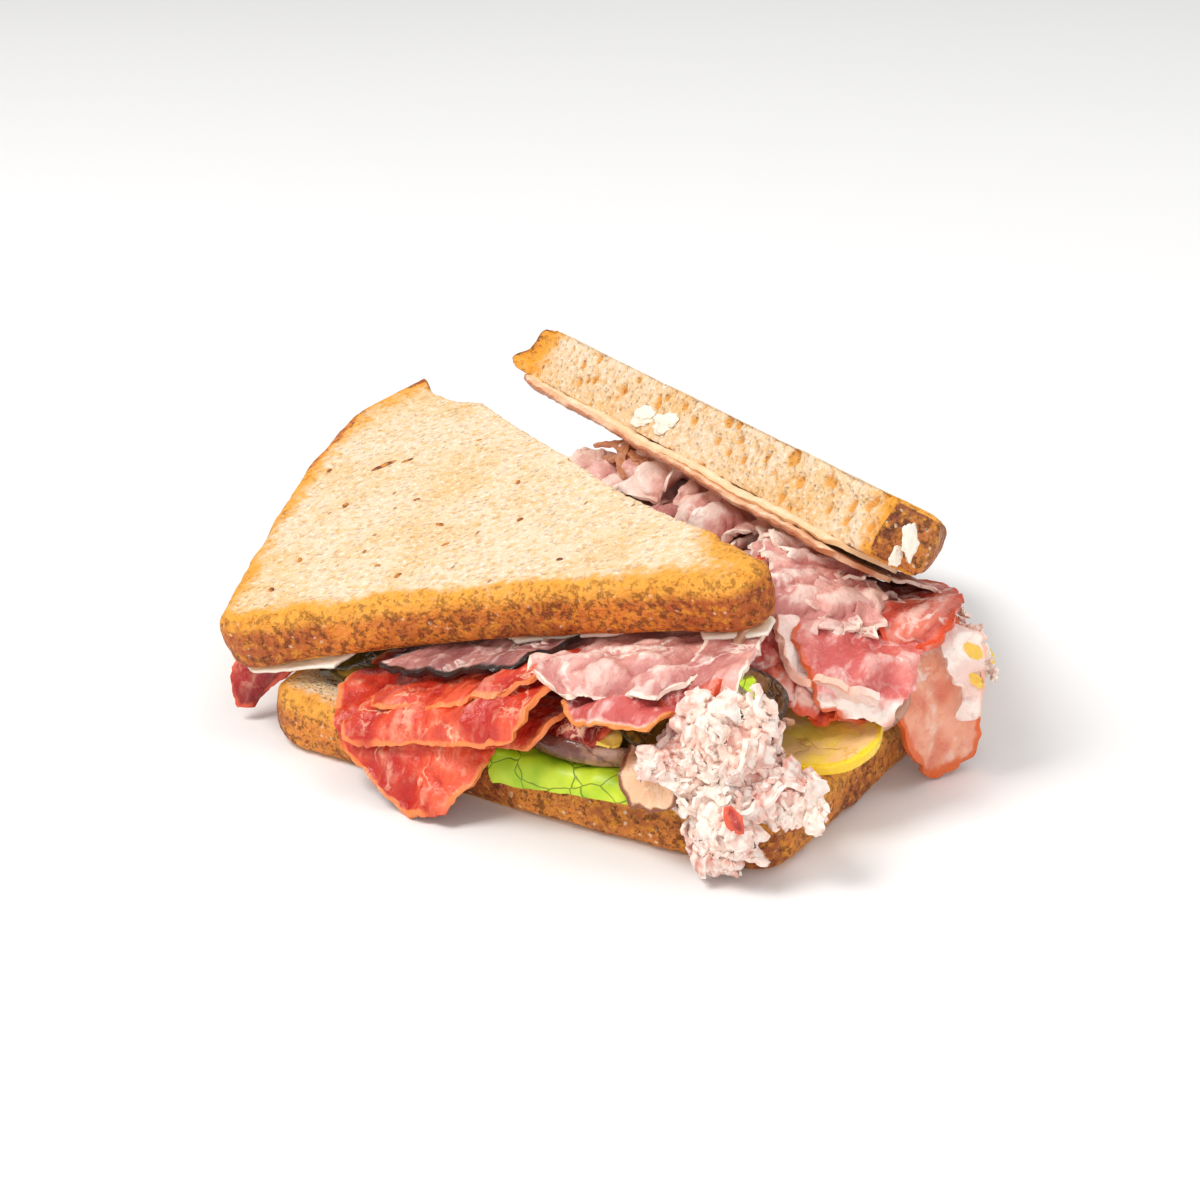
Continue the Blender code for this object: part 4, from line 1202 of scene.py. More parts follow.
def bread_slices() -> list[BreadSlice]:
    """List the four half slices.

    Returns:
        The slices, from the bottom up.
    """
    flat, along = Vector((0, 0, 1)), Vector((1, 0, 0))
    run = SLICE_LONG - CUT_OFFSET - HALF_GAP / 2
    return [
        BreadSlice(
            "bread_bottom_left",
            [(0, 0, 12, 0.8, True), (run, 0, 0, 0.0, False), (1.5, SLICE_DEEP - 1, 0, 2.5, True)],
            Vector((0, 0, 0)), along, flat, seed=1.0,
        ),
        BreadSlice(
            "bread_bottom_right",
            [(run + HALF_GAP, 0, 0, 0.0, True), (SLICE_LONG, 0, 9, 0.8, True),
             (SLICE_LONG, SLICE_DEEP, 16, 0.8, True), (4.5, SLICE_DEEP, 0, 0.0, False)],
            Vector((0, 0, 0)), along, flat, seed=2.0,
        ),
        BreadSlice(
            "bread_top_left",
            [(-1, -4.5, 9, -5.0, True), (132, -5, 8, 0.0, True), (134.5, 4, 4, 0.0, True),
             (120.5, 16, 0, -2.2, False), (66, 62.5, 0, -0.6, False), (27, 99.5, 0, 0.0, False),
             (19, 101.5, 0, 0.0, False), (8.5, 109, 0, 0.0, False), (0.5, 121, 0, 0.0, True),
             (-13.5, 103, 13, 0.0, True), (-13.5, 70, 38, 0.0, True)],
            Vector((-9.0, 6.0, 15.6)), Vector((0.96, 0.14, 0.23)), Vector((-0.20, -0.22, 0.955)),
            pores=0.7, seed=3.0, golden=7.0, golden_rise=0.2, dark_from=72.0,
        ),
        BreadSlice(
            "bread_top_right",
            [(12, 1, 19, 0.8, True), (*CUT_CORNER, 0, 0.0, False), (12, SLICE_DEEP, 0, 0.0, True),
             (1, SLICE_DEEP, 0, 0.0, True)],
            RIGHT_TOP_CORNER, Vector((-0.934, -0.130, 0.333)), RIGHT_TOP_NORMAL,
            lean=1.5, pores=1.5, seed=4.0, golden=11.0, lip=4.5, bake=0.95,
            holes=[(130, 11.5, 3.2), (99, 12.6, 2.2), (137, 7.4, 2.3), (159, 8, 2.2), (50, 8, 2.1),
                   (113, 6, 1.7), (121, 9, 1.8), (146, 11, 1.9), (86, 9, 1.6), (70, 11, 1.5), (152, 5, 1.6),
                   (165, 11, 1.7), (32, 6, 1.6), (108, 10, 1.5)],
        ),
    ]


# Slices of meat, cheese and leaf


def beside_cut(along: float, out: float, height: float) -> Point:
    """Give a point by its place along the right top slice's cut edge.

    Args:
        along: How far along the edge from its far end.
        out: How far out of it.
        height: Its height.

    Returns:
        The point, in the tables' frame.
    """
    place = CUT_START + CUT_ALONG * along + CUT_OUT * out
    return (place.x, place.y, height)


def under_cut_edge(along: float, out: float, drop: float) -> Point:
    """Give a point by the right top slice's own lower edge: along it, out from under it and below it."""
    outwards = CUT_EDGE.cross(RIGHT_TOP_NORMAL)
    place = CUT_EDGE_START + CUT_EDGE * along + outwards * out - RIGHT_TOP_NORMAL * drop
    return place.to_tuple()


@dataclass
class Slice:
    """A thin slice of food: a path from inside the sandwich to its free end, with its widths and folds.

    Attributes:
        name: The piece's name.
        finish: Its look.
        path: The points along its middle, from inside out.
        half_widths: Its half widths along the path.
        side: The way across it at its start.
        tip_side: The way across it at its free end, if another.
        node: The solid that it stands for, if any.
        thick: Its thickness.
        wave: How deep its broad waves are.
        wave_length: How long they are.
        ruffle: How deep its fine folds are.
        ruffle_length: How long those are.
        curl: How far its fine folds lean over.
        crease: How deep its sharp uneven creases are.
        crease_size: How far apart they are.
        tear: How ragged its rim is.
        round_power: How square its free end is.
        step: How fine its mesh is.
        seed: Picks its unevenness.
    """

    name: str
    finish: MeatFinish | WetFinish | None
    path: list[Point]
    half_widths: list[float]
    side: Point
    tip_side: Point | None = None
    node: str = ""
    thick: float = 1.2
    wave: float = 0.8
    wave_length: float = 24.0
    ruffle: float = 0.6
    ruffle_length: float = 8.0
    curl: float = 0.4
    crease: float = 0.5
    crease_size: float = 7.0
    tear: float = 0.8
    round_power: float = 3.5
    step: float = 0.9
    seed: float = 1.0

    def blank(self) -> bpy.types.Object:
        """Lay out the flat grid, with cells of about the wanted size."""
        reach = sum((Vector(q) - Vector(p)).length for p, q in zip(self.path, self.path[1:]))
        along = min(110, max(12, round(reach / self.step)))
        across = min(110, max(8, round(2 * max(self.half_widths) / self.step)))
        deselect()
        bpy.ops.mesh.primitive_grid_add(x_subdivisions=along, y_subdivisions=across, size=2)
        return bpy.context.object

    def point(self, line: list[Vector], s: float, b: float) -> tuple[Vector, float, float, float]:
        """Find where a point of the grid comes to lie.

        Args:
            line: The smooth path.
            s: Its place along the slice, -1 to 1.
            b: Its place across it, -1 to 1.

        Returns:
            The point in millimetres, its distance from the rim and from the free end, and how high on a fold
            it is.
        """
        share = (s + 1) / 2
        place = share * (len(line) - 1)
        low = min(int(place), len(line) - 2)
        centre = line[low].lerp(line[low + 1], place - low)
        ahead = (line[min(low + 2, len(line) - 1)] - line[max(low - 1, 0)]).normalized()
        side = Vector(self.side).normalized()
        if self.tip_side:
            side = side.lerp(Vector(self.tip_side).normalized(), share).normalized()
        face = ahead.cross(side).normalized()
        side = face.cross(ahead).normalized() * 0.5 + side * 0.5
        width = read_between(self.half_widths, share)
        ends = (1 - abs(0.96 * s) ** self.round_power) ** (1 / self.round_power)
        free = 0.25 + 0.75 * share
        spot = centre + side * (b * width * ends)
        lane = CUT_ALONG.dot(spot)
        ripple = math.sin(lane * math.tau / self.wave_length) * self.wave * free
        ripple += noise.noise(Vector((spot.x / 11, spot.y / 11, 0))) * self.wave * free
        loose = free * free
        turn = (lane + 3.0 * rough(spot, 13.0, self.seed)) * math.tau / self.ruffle_length
        turn += 2.5 * rough(spot, 30.0, self.seed + 4)
        sharp = 1 - 2.4 * abs(rough(spot, self.crease_size, self.seed + 8))
        finer = 1 - 2.4 * abs(rough(spot, 0.44 * self.crease_size, self.seed + 12))
        creased = 0.7 * sharp + 0.3 * finer - 0.5
        ripple += math.sin(turn) * self.ruffle * loose + 1.7 * creased * self.crease * free
        ripple += 0.18 * rough(spot, 2.0, self.seed + 3)
        sway = math.sin(2 * turn + 0.8) * self.curl * self.ruffle * loose
        rim = max(abs(b), share) ** 4
        tear = (rough(spot, 5.0, self.seed + 1) + 0.7 * rough(spot, 2.0, self.seed + 6)) * self.tear * rim
        reach = max((line[-1] - line[0]).length, 1.0)
        from_tip = (1 - share) * reach
        from_rim = min((1 - abs(b)) * width * ends, from_tip)
        fold = 0.5 + 0.25 * math.sin(turn) * min(self.ruffle, 1.4)
        fold += 0.5 * creased * min(self.crease + 0.2, 1.6)
        spot = spot + side * (sway + tear * (1 if b > 0 else -1)) + face * ripple + ahead * tear
        return spot, from_rim, from_tip, fold

    def make(self, layout: Layout, look: bpy.types.Material, slot: Slot) -> bpy.types.Object:
        """Build the slice and put it in place.

        Args:
            layout: Where the tables' frame lies.
            look: Its material.
            slot: The record's slot.

        Returns:
            The finished slice.
        """
        obj = self.blank()
        line = smooth_path(self.path, 6 * len(self.path))
        found = [self.point(line, v.co.x, v.co.y) for v in obj.data.vertices]
        for vertex, (spot, _, _, _) in zip(obj.data.vertices, found):
            spot.z = max(spot.z, 0.5 * self.thick + 0.1)
            vertex.co = layout.place(spot)
        store(obj, "edge_mm", [max(row[1], 0.0) for row in found])
        store(obj, "tip_mm", [max(row[2], 0.0) for row in found])
        # The fold height, which the material turns into painted shade in the valleys and painted highlights
        # on the ridges.
        store(obj, "fold", [row[3] for row in found])
        wall = obj.modifiers.new("thickness", "SOLIDIFY")
        wall.thickness = self.thick * MM
        wall.offset = 0.0
        apply_all(obj)
        smooth_shade(obj, 50)
        hand_over(obj, self.name, look, slot, *([self.node] if self.node else []))
        return obj


def left_slices() -> list[Slice]:
    """List the slices that show at the front of the left half, from the leaf up.

    Returns:
        The slices.
    """
    return [
        Slice("leaf_front", None,
              [(84, 38, 16.3), (85, 20, 16), (86, 6, 16.2), (86.5, -1, 16.6), (87, -3.8, 15.8),
               (87, -5.2, 13.6), (87.5, -5.6, 11.2)], [16, 19, 20, 20.5, 21, 21, 20], (1, 0, 0.0),
              node="lettuce", thick=0.8, wave=0.22, wave_length=26, ruffle=0.15, crease=0.12, tear=0.4,
              round_power=24),
        # Painted shade: this leaf lies in the shade under the left top slice and is given the dark pickle
        # colour.
        Slice("leaf_left_dark", PICKLE, [(30, 56, 17), (22, 34, 17.4), (18, 17, 17.6), (17, 7, 17.2)],
              [16, 15, 11, 9], (0.96, -0.2, 0.02), node="leaf_left", wave=0.6, wave_length=30),
        Slice("salami_drape_slice", SALAMI,
              [(46, 60, 22.5), (47, 35, 20.3), (47, 14, 18.8), (47.5, 2, 18.6), (48.5, -5.3, 16),
               (52, -10, 9), (56.5, -14, 1.6)], [16, 22, 25, 26, 26, 20, 8], (1, 0, 0.03),
              node="salami_drape", wave=0.8, wave_length=43, ruffle=0.5, ruffle_length=13, crease=0.7,
              round_power=4),
        Slice("salami_middle_slice", SALAMI,
              [(66, 48, 27), (67, 30, 24.5), (67, 12, 22.8), (67, 2, 23.4), (68, -5, 23.2), (69, -8.4, 19)],
              [12, 17, 18, 18, 18, 16], (0.98, 0, 0.2), node="salami_middle", ruffle_length=12, seed=2),
        Slice("salami_upper_slice", SALAMI,
              [(46, 70, 32), (48, 45, 28), (51, 20, 24.6), (53, 8, 24), (54, -3, 24.5), (54.5, -9, 22),
               (55, -10.8, 17)], [18, 26, 30, 31, 31, 30, 28], (1, 0, 0.18), (0.93, 0, 0.37),
              node="salami_upper", wave=1.0, wave_length=27, ruffle=0.8, ruffle_length=14, seed=3,
              round_power=5),
        Slice("salami_layer_top", SALAMI,
              [(50, 45, 29.8), (53, 25, 27.4), (54, 10, 26.6), (55, 2, 26.6), (55.5, -4, 26.4),
               (56, -6, 24.8)], [18, 22, 24, 25, 25, 24], (1, 0, 0.18), (0.93, 0, 0.37), wave=1.0,
              wave_length=27, ruffle=0.8, ruffle_length=11, crease=0.8, seed=21, round_power=5, thick=0.9),
        Slice("beef_dark_edge_slice", BEEF_SMOKED,
              [(54, 55, 36), (53, 35, 31.8), (52, 20, 29.4), (51, 12, 29), (51, 6, 29.2), (51, 2.5, 28)],
              [16, 20, 23, 23, 23, 22], (0.97, 0.05, 0.24), node="beef_dark_edge", wave=0.6, ruffle=0.5,
              ruffle_length=11, seed=4, round_power=5),
        Slice("salami_dark_slice", SALAMI_DARK,
              [(80, 36, 28.5), (82, 22, 26.5), (84, 10, 25.8), (85.5, 2, 25), (86, -2.5, 21)],
              [8, 10, 11, 11, 9], (0.98, 0, 0.2), node="salami_dark", wave=0.5, seed=5),
        Slice("bacon_slice", BACON,
              [(88, 42, 36), (92, 25, 32.5), (94.5, 12, 31.5), (96.5, 3, 32.5), (97.5, -4, 32.5),
               (98.5, -6.5, 29.5)], [10, 14, 15, 15, 15, 14], (0.99, 0.05, 0.03), node="bacon", wave=1.6,
              wave_length=27, ruffle=0.9, ruffle_length=12, seed=6),
        Slice("beef_right_slice", PASTRAMI,
              [(103, 34, 39), (106, 22, 37.8), (109, 12, 38.2), (111, 4, 38), (112, 0, 33.5)],
              [6, 8, 9, 9, 8], (0.96, 0.1, 0.25), node="beef_right", seed=7),
        Slice("beef_wide_slice", BEEF,
              [(82, 45, 41), (86, 27, 37.3), (89.5, 18, 36.8), (92, 8, 38.2), (94, 1, 38.6),
               (96, -3, 34.5)], [14, 20, 22, 23, 22, 18], (0.98, 0.08, 0.17), node="beef_wide", wave=1.0,
              wave_length=33, ruffle=1.0, ruffle_length=11, crease=1.1, seed=8),
        Slice("beef_flap_slice", BEEF,
              [(110, 32, 43.5), (112.5, 20, 42.2), (114.5, 12, 42.4), (116, 6, 40.5), (117, 3, 34.5)],
              [5, 6, 7, 7, 5], (0.95, 0.2, 0.2), node="beef_flap", seed=9),
        Slice("beef_left_tip_slice", SALAMI_DARK,
              [(4, 24, 18), (-3, 16, 15.6), (-7.5, 11.5, 13.2), (-9.5, 9.3, 8.6), (-10.5, 8.6, 3.6)],
              [6, 7.5, 7.5, 6, 2.5], (0.93, 0.35, 0.12), node="beef_left_tip", seed=10),
        Slice("turkey_piece_slice", TURKEY_EDGE,
              [(102, 12, 24), (104.5, 3, 23.6), (106.5, -4.6, 20.6), (108, -7.2, 13.4)], [5, 6.5, 7, 6],
              (0.95, 0.1, 0.1), node="turkey_piece", wave=0.5, seed=11),
    ]


def right_slices() -> list[Slice]:
    """List the slices that show at the front of the right half, from the bottom up.

    Returns:
        The slices.
    """
    return [
        Slice("salami_inner_slice", SALAMI, [(112, 62, 22), (122, 50, 23.5), (129, 42, 24), (134, 36, 22)],
              [8, 9, 9, 7], (0.55, 0.75, -0.3), node="salami_inner", seed=12),
        Slice("pastrami_front_slice", PASTRAMI,
              [(118, 84, 31), (120, 62, 34.5), (119.5, 45, 37), (119.5, 35, 36.5), (120.5, 28, 33),
               (121, 25, 28.5)], [14, 18, 21, 22, 21, 18], (0.8, 0.1, -0.5), (0.74, 0.08, -0.66),
              node="pastrami_front", wave=1.3, wave_length=23, ruffle=1.3, ruffle_length=7, crease=1.5,
              tear=1.8, seed=13),
        Slice("ham_fold_slice", HAM,
              [(118, 84, 35), (122, 64, 38.4), (128, 50, 39), (133, 38, 36.5), (136, 32.5, 31.5),
               (136, 31, 26.5)], [12, 15, 15, 15, 14, 12], (0.85, 0.45, -0.3), node="ham_fold", wave=1.0,
              wave_length=30, ruffle=0.7, ruffle_length=12, crease=0.9, tear=1.2, seed=14),
        Slice("ham_hanging_slice", HAM_LONG,
              [(120, 84, 32.5), (126, 76, 33.6), (133, 67, 33), (139.5, 61, 29.5), (143, 60.5, 19),
               (145, 63, 9), (146, 66, 1.8)], [12, 14, 14, 13, 12, 11, 10], (0.4, 0.9, -0.2),
              (0.35, 0.93, 0.05), node="ham_hanging", wave=1.2, wave_length=38, ruffle=0.6,
              ruffle_length=12, seed=15),
        Slice("pastrami_end_slice", PASTRAMI,
              [(120, 96, 31), (128, 80, 36), (134, 66, 39), (137.5, 57, 39.5), (140, 51, 35)],
              [8, 10, 11, 10, 8], (0.86, 0.5, 0.0), node="pastrami_end", wave=1.4, wave_length=27,
              ruffle=1.0, seed=16),
    ]


def pile_slices() -> list[Slice]:
    """List the crumpled slices of the pile between the two halves, and the covers under the top bread.

    Returns:
        The slices.
    """
    found: list[Slice] = []
    for node, along, height, reach, width, finish in (
        ("beef_low_far", 63, 33.5, 20.5, 24, BEEF_PALE),
        ("beef_low_near", 114, 33.5, 21.5, 25, BEEF),
        ("beef_far", 62, 39.3, 15.5, 19.5, BEEF_PALE),
        ("beef_middle", 101, 39.3, 16.5, 18.5, BEEF),
        ("beef_near", 140, 39.3, 19, 19.5, BEEF_PALE),
        ("ham_far", 72, 44.8, 8.5, 16.5, BEEF_PALE),
        ("ham_middle", 107, 44.8, 11, 17.5, BEEF_PALE),
        ("ham_near", 143, 44.8, 13.5, 17.5, BEEF),
    ):
        path = [
            beside_cut(along, -40, height - 22.0),
            beside_cut(along, -24, height - 11.0),
            beside_cut(along, -8, height - 2.4),
            beside_cut(along, reach - 9, height + 0.8),
            beside_cut(along, reach - 2, height - 0.6),
            beside_cut(along, reach, height - 5.4),
        ]
        widths = [0.55 * width, 0.85 * width, width, width, width, 0.85 * width]
        found.append(Slice(node + "_slice", finish, path, widths, (0.865, -0.5, 0.02), node=node, wave=1.4,
                           wave_length=17, ruffle=1.7, ruffle_length=10.5, curl=0.7, crease=1.8, tear=2.0,
                           seed=along / 10, step=0.7, thick=0.8, crease_size=12.5))
    for node, finish, drop, lip, lean in (("cheese_slice", CHEESE, 0.45, 1.7, 0.0),
                                          ("turkey_slice", TURKEY, 1.9, 2.9, 0.014)):
        path = [under_cut_edge(85, out, drop) for out in (-36, -18, -3, lip - 0.9)]
        path.append(under_cut_edge(85, lip, drop + 1.2))
        side = CUT_EDGE - RIGHT_TOP_NORMAL * lean
        widths = [50, 64, 79, 80, 80]
        found.append(Slice(node + "_sheet", finish, path, widths, side.to_tuple(), node=node, wave=0.3,
                           wave_length=47, ruffle=0.12, crease=0.1, tear=0.35, round_power=12, seed=lip,
                           step=1.1))
    return found


def loose_slices() -> list[Slice]:
    """List the small torn pieces that lie over the rest: beef, fat, strands and scraps.

    Returns:
        The pieces.
    """
    fall = (0.75, 0.5, -0.25)
    crumpled = {"ruffle": 1.4, "ruffle_length": 8.0, "curl": 0.6, "crease": 1.7, "crease_size": 12.0,
                "tear": 2.4, "thick": 0.8, "step": 0.55}
    soft = {"ruffle": 0.5, "crease": 0.7, "tear": 1.3, "thick": 1.8, "step": 0.6}
    small = {"ruffle": 0.4, "crease": 0.5, "tear": 0.7, "thick": 0.9, "step": 0.5}
    return [
        Slice("beef_cascade_1", BEEF, [(101, 74, 43), (108, 62, 47.6), (113.5, 51, 48.2), (117.5, 42, 45.9),
              (121, 35, 41.6), (124, 31, 36.6)], [7, 9, 9.5, 8.5, 6.5, 3.5], fall, seed=31, **crumpled),
        Slice("beef_cascade_2", BEEF,
              [(108, 72, 43.4), (115, 62, 45.6), (120, 53.5, 45), (124, 46, 43), (127.5, 40, 40)],
              [6, 7.5, 7.5, 7, 4], fall, seed=32, **crumpled),
        Slice("beef_cascade_3", BEEF_PALE,
              [(98, 82, 42), (104, 72, 46.4), (108.5, 63, 48.6), (112, 56, 47.4)], [6, 8, 8, 5], fall,
              seed=33, **crumpled),
        Slice("beef_cascade_4", BEEF_PALE,
              [(121, 66, 42.8), (127, 58, 43), (131, 51, 41.6), (133.5, 46, 39)], [2.5, 3.4, 3.4, 2],
              (0.7, 0.6, -0.3), seed=34, **crumpled),
        Slice("fat_band", FAT, [(113.5, 43, 45), (117, 37, 42.6), (120.5, 32.5, 39.2), (124, 29.5, 35.4),
              (128, 28, 33)], [2, 3.2, 3.6, 3.6, 2.6], (0.8, 0.3, -0.5), seed=35, **soft),
        Slice("fat_lip", FAT,
              [(127, 27.8, 33.6), (131, 28.5, 32.6), (135.5, 30.3, 31.4), (140, 33.6, 30.4)],
              [2.2, 2.8, 3.0, 2.2], (0.1, -0.35, 0.9), seed=36, **soft),
        Slice("beef_strand_1", STRAND, [(22, 116, 42), (30, 112, 45.4), (38, 107, 45), (45, 102, 43)],
              [0.9, 1.3, 1.2, 0.7], (0.3, 0.9, 0.3), seed=37, **small),
        Slice("beef_strand_2", STRAND, [(27, 112, 41), (34, 107, 43.6), (42, 105, 44.8), (50, 101, 44.6)],
              [0.7, 1.2, 1.2, 0.7], (0.3, 0.9, 0.3), seed=38, **small),
        Slice("beef_strand_3", STRAND, [(30, 116, 45), (35, 109, 46), (37, 103, 43), (41, 99, 41)],
              [0.8, 1.1, 1.1, 0.7], (0.8, 0.4, 0.2), seed=39, **small),
        Slice("cheese_scrap", CHEESE_YELLOW, [(88.5, 5, 23.4), (91.5, 1.5, 23.6), (95, -2, 22.4)],
              [3.0, 4.2, 3.0], (0.9, 0.4, 0.1), seed=40, **small),
        Slice("leaf_scrap", None, [(119.5, 11, 38.6), (122, 8, 40), (124.5, 5.4, 40.2), (126, 4, 38.6)],
              [1, 1.9, 1.9, 1], (0.8, 0.5, 0.2), seed=41, **small),
        Slice("cream_side", FAT,
              [(140, 66, 38), (145, 62.5, 36.4), (149, 62.5, 31.5), (150.5, 63.5, 24.5), (149.5, 64, 17)],
              [3, 4.2, 4.4, 3.6, 2], (0.7, 0.7, 0), seed=43, **crumpled),
        Slice("cheese_side_1", CHEESE_YELLOW, [(148.6, 61.5, 34.5), (150.2, 62.6, 33), (151, 64, 31.4)],
              [0.8, 1.4, 0.7], (0.6, 0.3, 0.7), seed=44, **small),
        Slice("cheese_side_2", CHEESE_YELLOW, [(149.2, 62.5, 27), (150.8, 63.8, 25.6), (151.3, 65, 24)],
              [0.7, 1.3, 0.7], (0.6, 0.3, 0.7), seed=45, **small),
        Slice("pastrami_scrap", SALAMI_DARK, [(127, -9, 20), (129.5, -10.4, 18), (131, -10.8, 15.6)],
              [1.2, 1.9, 1.1], (0.8, 0.4, 0), seed=42, **small),
    ]


# Vegetables


@dataclass
class PickleSlice:
    """A round slice of pickle or pepper.

    Attributes:
        node: The solid that it stands for.
        finish: Its look.
        centre: Its middle.
        radius: Its radius.
        normal: The way it faces.
        thick: Its thickness.
        bend: How far it is bent.
        squash: Its width over its length.
    """

    node: str
    finish: WetFinish
    centre: Point
    radius: float
    normal: Point
    thick: float = 3.0
    bend: float = 0.8
    squash: float = 1.0

    def make(self, layout: Layout, look: bpy.types.Material) -> bpy.types.Object:
        """Build the slice from a cylinder: bevelled, subdivided, bent and roughened.

        Args:
            layout: Where the tables' frame lies.
            look: Its material.

        Returns:
            The finished slice.
        """
        deselect()
        bpy.ops.mesh.primitive_cylinder_add(vertices=40, radius=self.radius, depth=self.thick,
                                            end_fill_type="NGON")
        obj = bpy.context.object
        bpy.ops.object.mode_set(mode="EDIT")
        bpy.ops.mesh.select_mode(type="FACE")
        bpy.ops.mesh.select_all(action="DESELECT")
        bpy.ops.object.mode_set(mode="OBJECT")
        for face in obj.data.polygons:
            face.select = abs(face.normal.z) > 0.9
        bpy.ops.object.mode_set(mode="EDIT")
        for inset in (0.5, 0.13 * self.radius, 0.22 * self.radius, 0.25 * self.radius):
            bpy.ops.mesh.inset(thickness=inset)
        bpy.ops.object.mode_set(mode="OBJECT")
        soft = obj.modifiers.new("soft", "SUBSURF")
        soft.levels = soft.render_levels = 2
        apply_all(obj)
        up = Vector(self.normal).normalized()
        across = up.cross(Vector((1, 0.2, 0))).normalized()
        turn = Matrix((across.cross(up), across, up)).transposed()
        edges: list[float] = []
        for vertex in obj.data.vertices:
            p = vertex.co.copy()
            reach = math.hypot(p.x, p.y) / self.radius
            angle = math.atan2(p.y, p.x)
            wobble = 1 + 0.04 * math.sin(3 * angle + self.radius) + 0.012 * rough(p, 2.0)
            dent = 0.35 * smoothstep(0.85, 0.6, reach) * (1 if p.z > 0 else -1)
            height = p.z + self.bend * math.cos(2 * angle) * reach - dent
            height += 0.18 * rough(p, 2.2, self.radius)
            edges.append((1 - reach) * self.radius)
            spot = Vector((p.x * wobble, p.y * wobble * self.squash, height))
            vertex.co = layout.place(Vector(self.centre) + turn @ spot)
        store(obj, "edge_mm", edges)
        smooth_shade(obj, 60)
        hand_over(obj, self.node + "_round", look, self.finish.slot, self.node)
        return obj


@dataclass
class OnionArc:
    """A piece of a cooked onion ring: several thin layers side by side.

    Attributes:
        node: The solid that it stands for.
        centre: The ring's middle.
        radius: Its radius.
        first: Where it starts, in degrees.
        last: Where it ends.
        normal: The way the ring faces.
        wall: How wide its section is.
        height: How high its section is.
    """

    node: str
    centre: Point
    radius: float
    first: float
    last: float
    normal: Point
    wall: float = 3.2
    height: float = 5.2

    def make(self, layout: Layout, look: bpy.types.Material) -> bpy.types.Object:
        """Build the arc from a tube section carried round the ring, with the layers' grooves.

        Args:
            layout: Where the tables' frame lies.
            look: Its material.

        Returns:
            The finished arc.
        """
        steps, section = 90, 24
        deselect()
        bpy.ops.mesh.primitive_cylinder_add(vertices=section, radius=1.0, depth=2.0, end_fill_type="TRIFAN")
        obj = bpy.context.object
        bpy.ops.object.mode_set(mode="EDIT")
        for k in range(1, steps):
            bpy.ops.mesh.select_all(action="SELECT")
            bpy.ops.mesh.bisect(plane_co=(0, 0, -1 + 2 * k / steps), plane_no=(0, 0, 1))
        bpy.ops.object.mode_set(mode="OBJECT")
        up = Vector(self.normal).normalized()
        across = up.cross(Vector((1, 0, 0))).normalized()
        turn = Matrix((across.cross(up), across, up)).transposed()
        edges: list[float] = []
        for vertex in obj.data.vertices:
            share = (vertex.co.z + 1) / 2
            angle = math.radians(self.first + (self.last - self.first) * share)
            fade = 0.35 + 0.65 * max(math.sin(math.pi * share), 0.0) ** 0.5
            groove = 1 - 0.1 * abs(math.sin(2.5 * math.atan2(vertex.co.y, vertex.co.x)))
            reach = self.radius + vertex.co.x * self.wall / 2 * fade * groove
            rise = vertex.co.y * self.height / 2 * fade * groove + 0.6 * math.sin(3 * angle)
            spot = Vector((math.cos(angle) * reach, math.sin(angle) * reach, rise))
            spot += Vector((0, 0, 0.25 * rough(spot, 4.0)))
            vertex.co = layout.place(Vector(self.centre) + turn @ spot)
            edges.append(abs(math.sin(2.5 * math.atan2(vertex.co.y, vertex.co.x))) * 1.2)
        store(obj, "edge_mm", edges)
        deselect()
        obj.select_set(True)
        bpy.ops.object.mode_set(mode="EDIT")
        bpy.ops.mesh.select_all(action="SELECT")
        bpy.ops.mesh.normals_make_consistent(inside=False)
        bpy.ops.object.mode_set(mode="OBJECT")
        smooth_shade(obj, 60)
        hand_over(obj, self.node + "_arc", look, Slot.ONION, self.node)
        return obj


# Shredded chicken


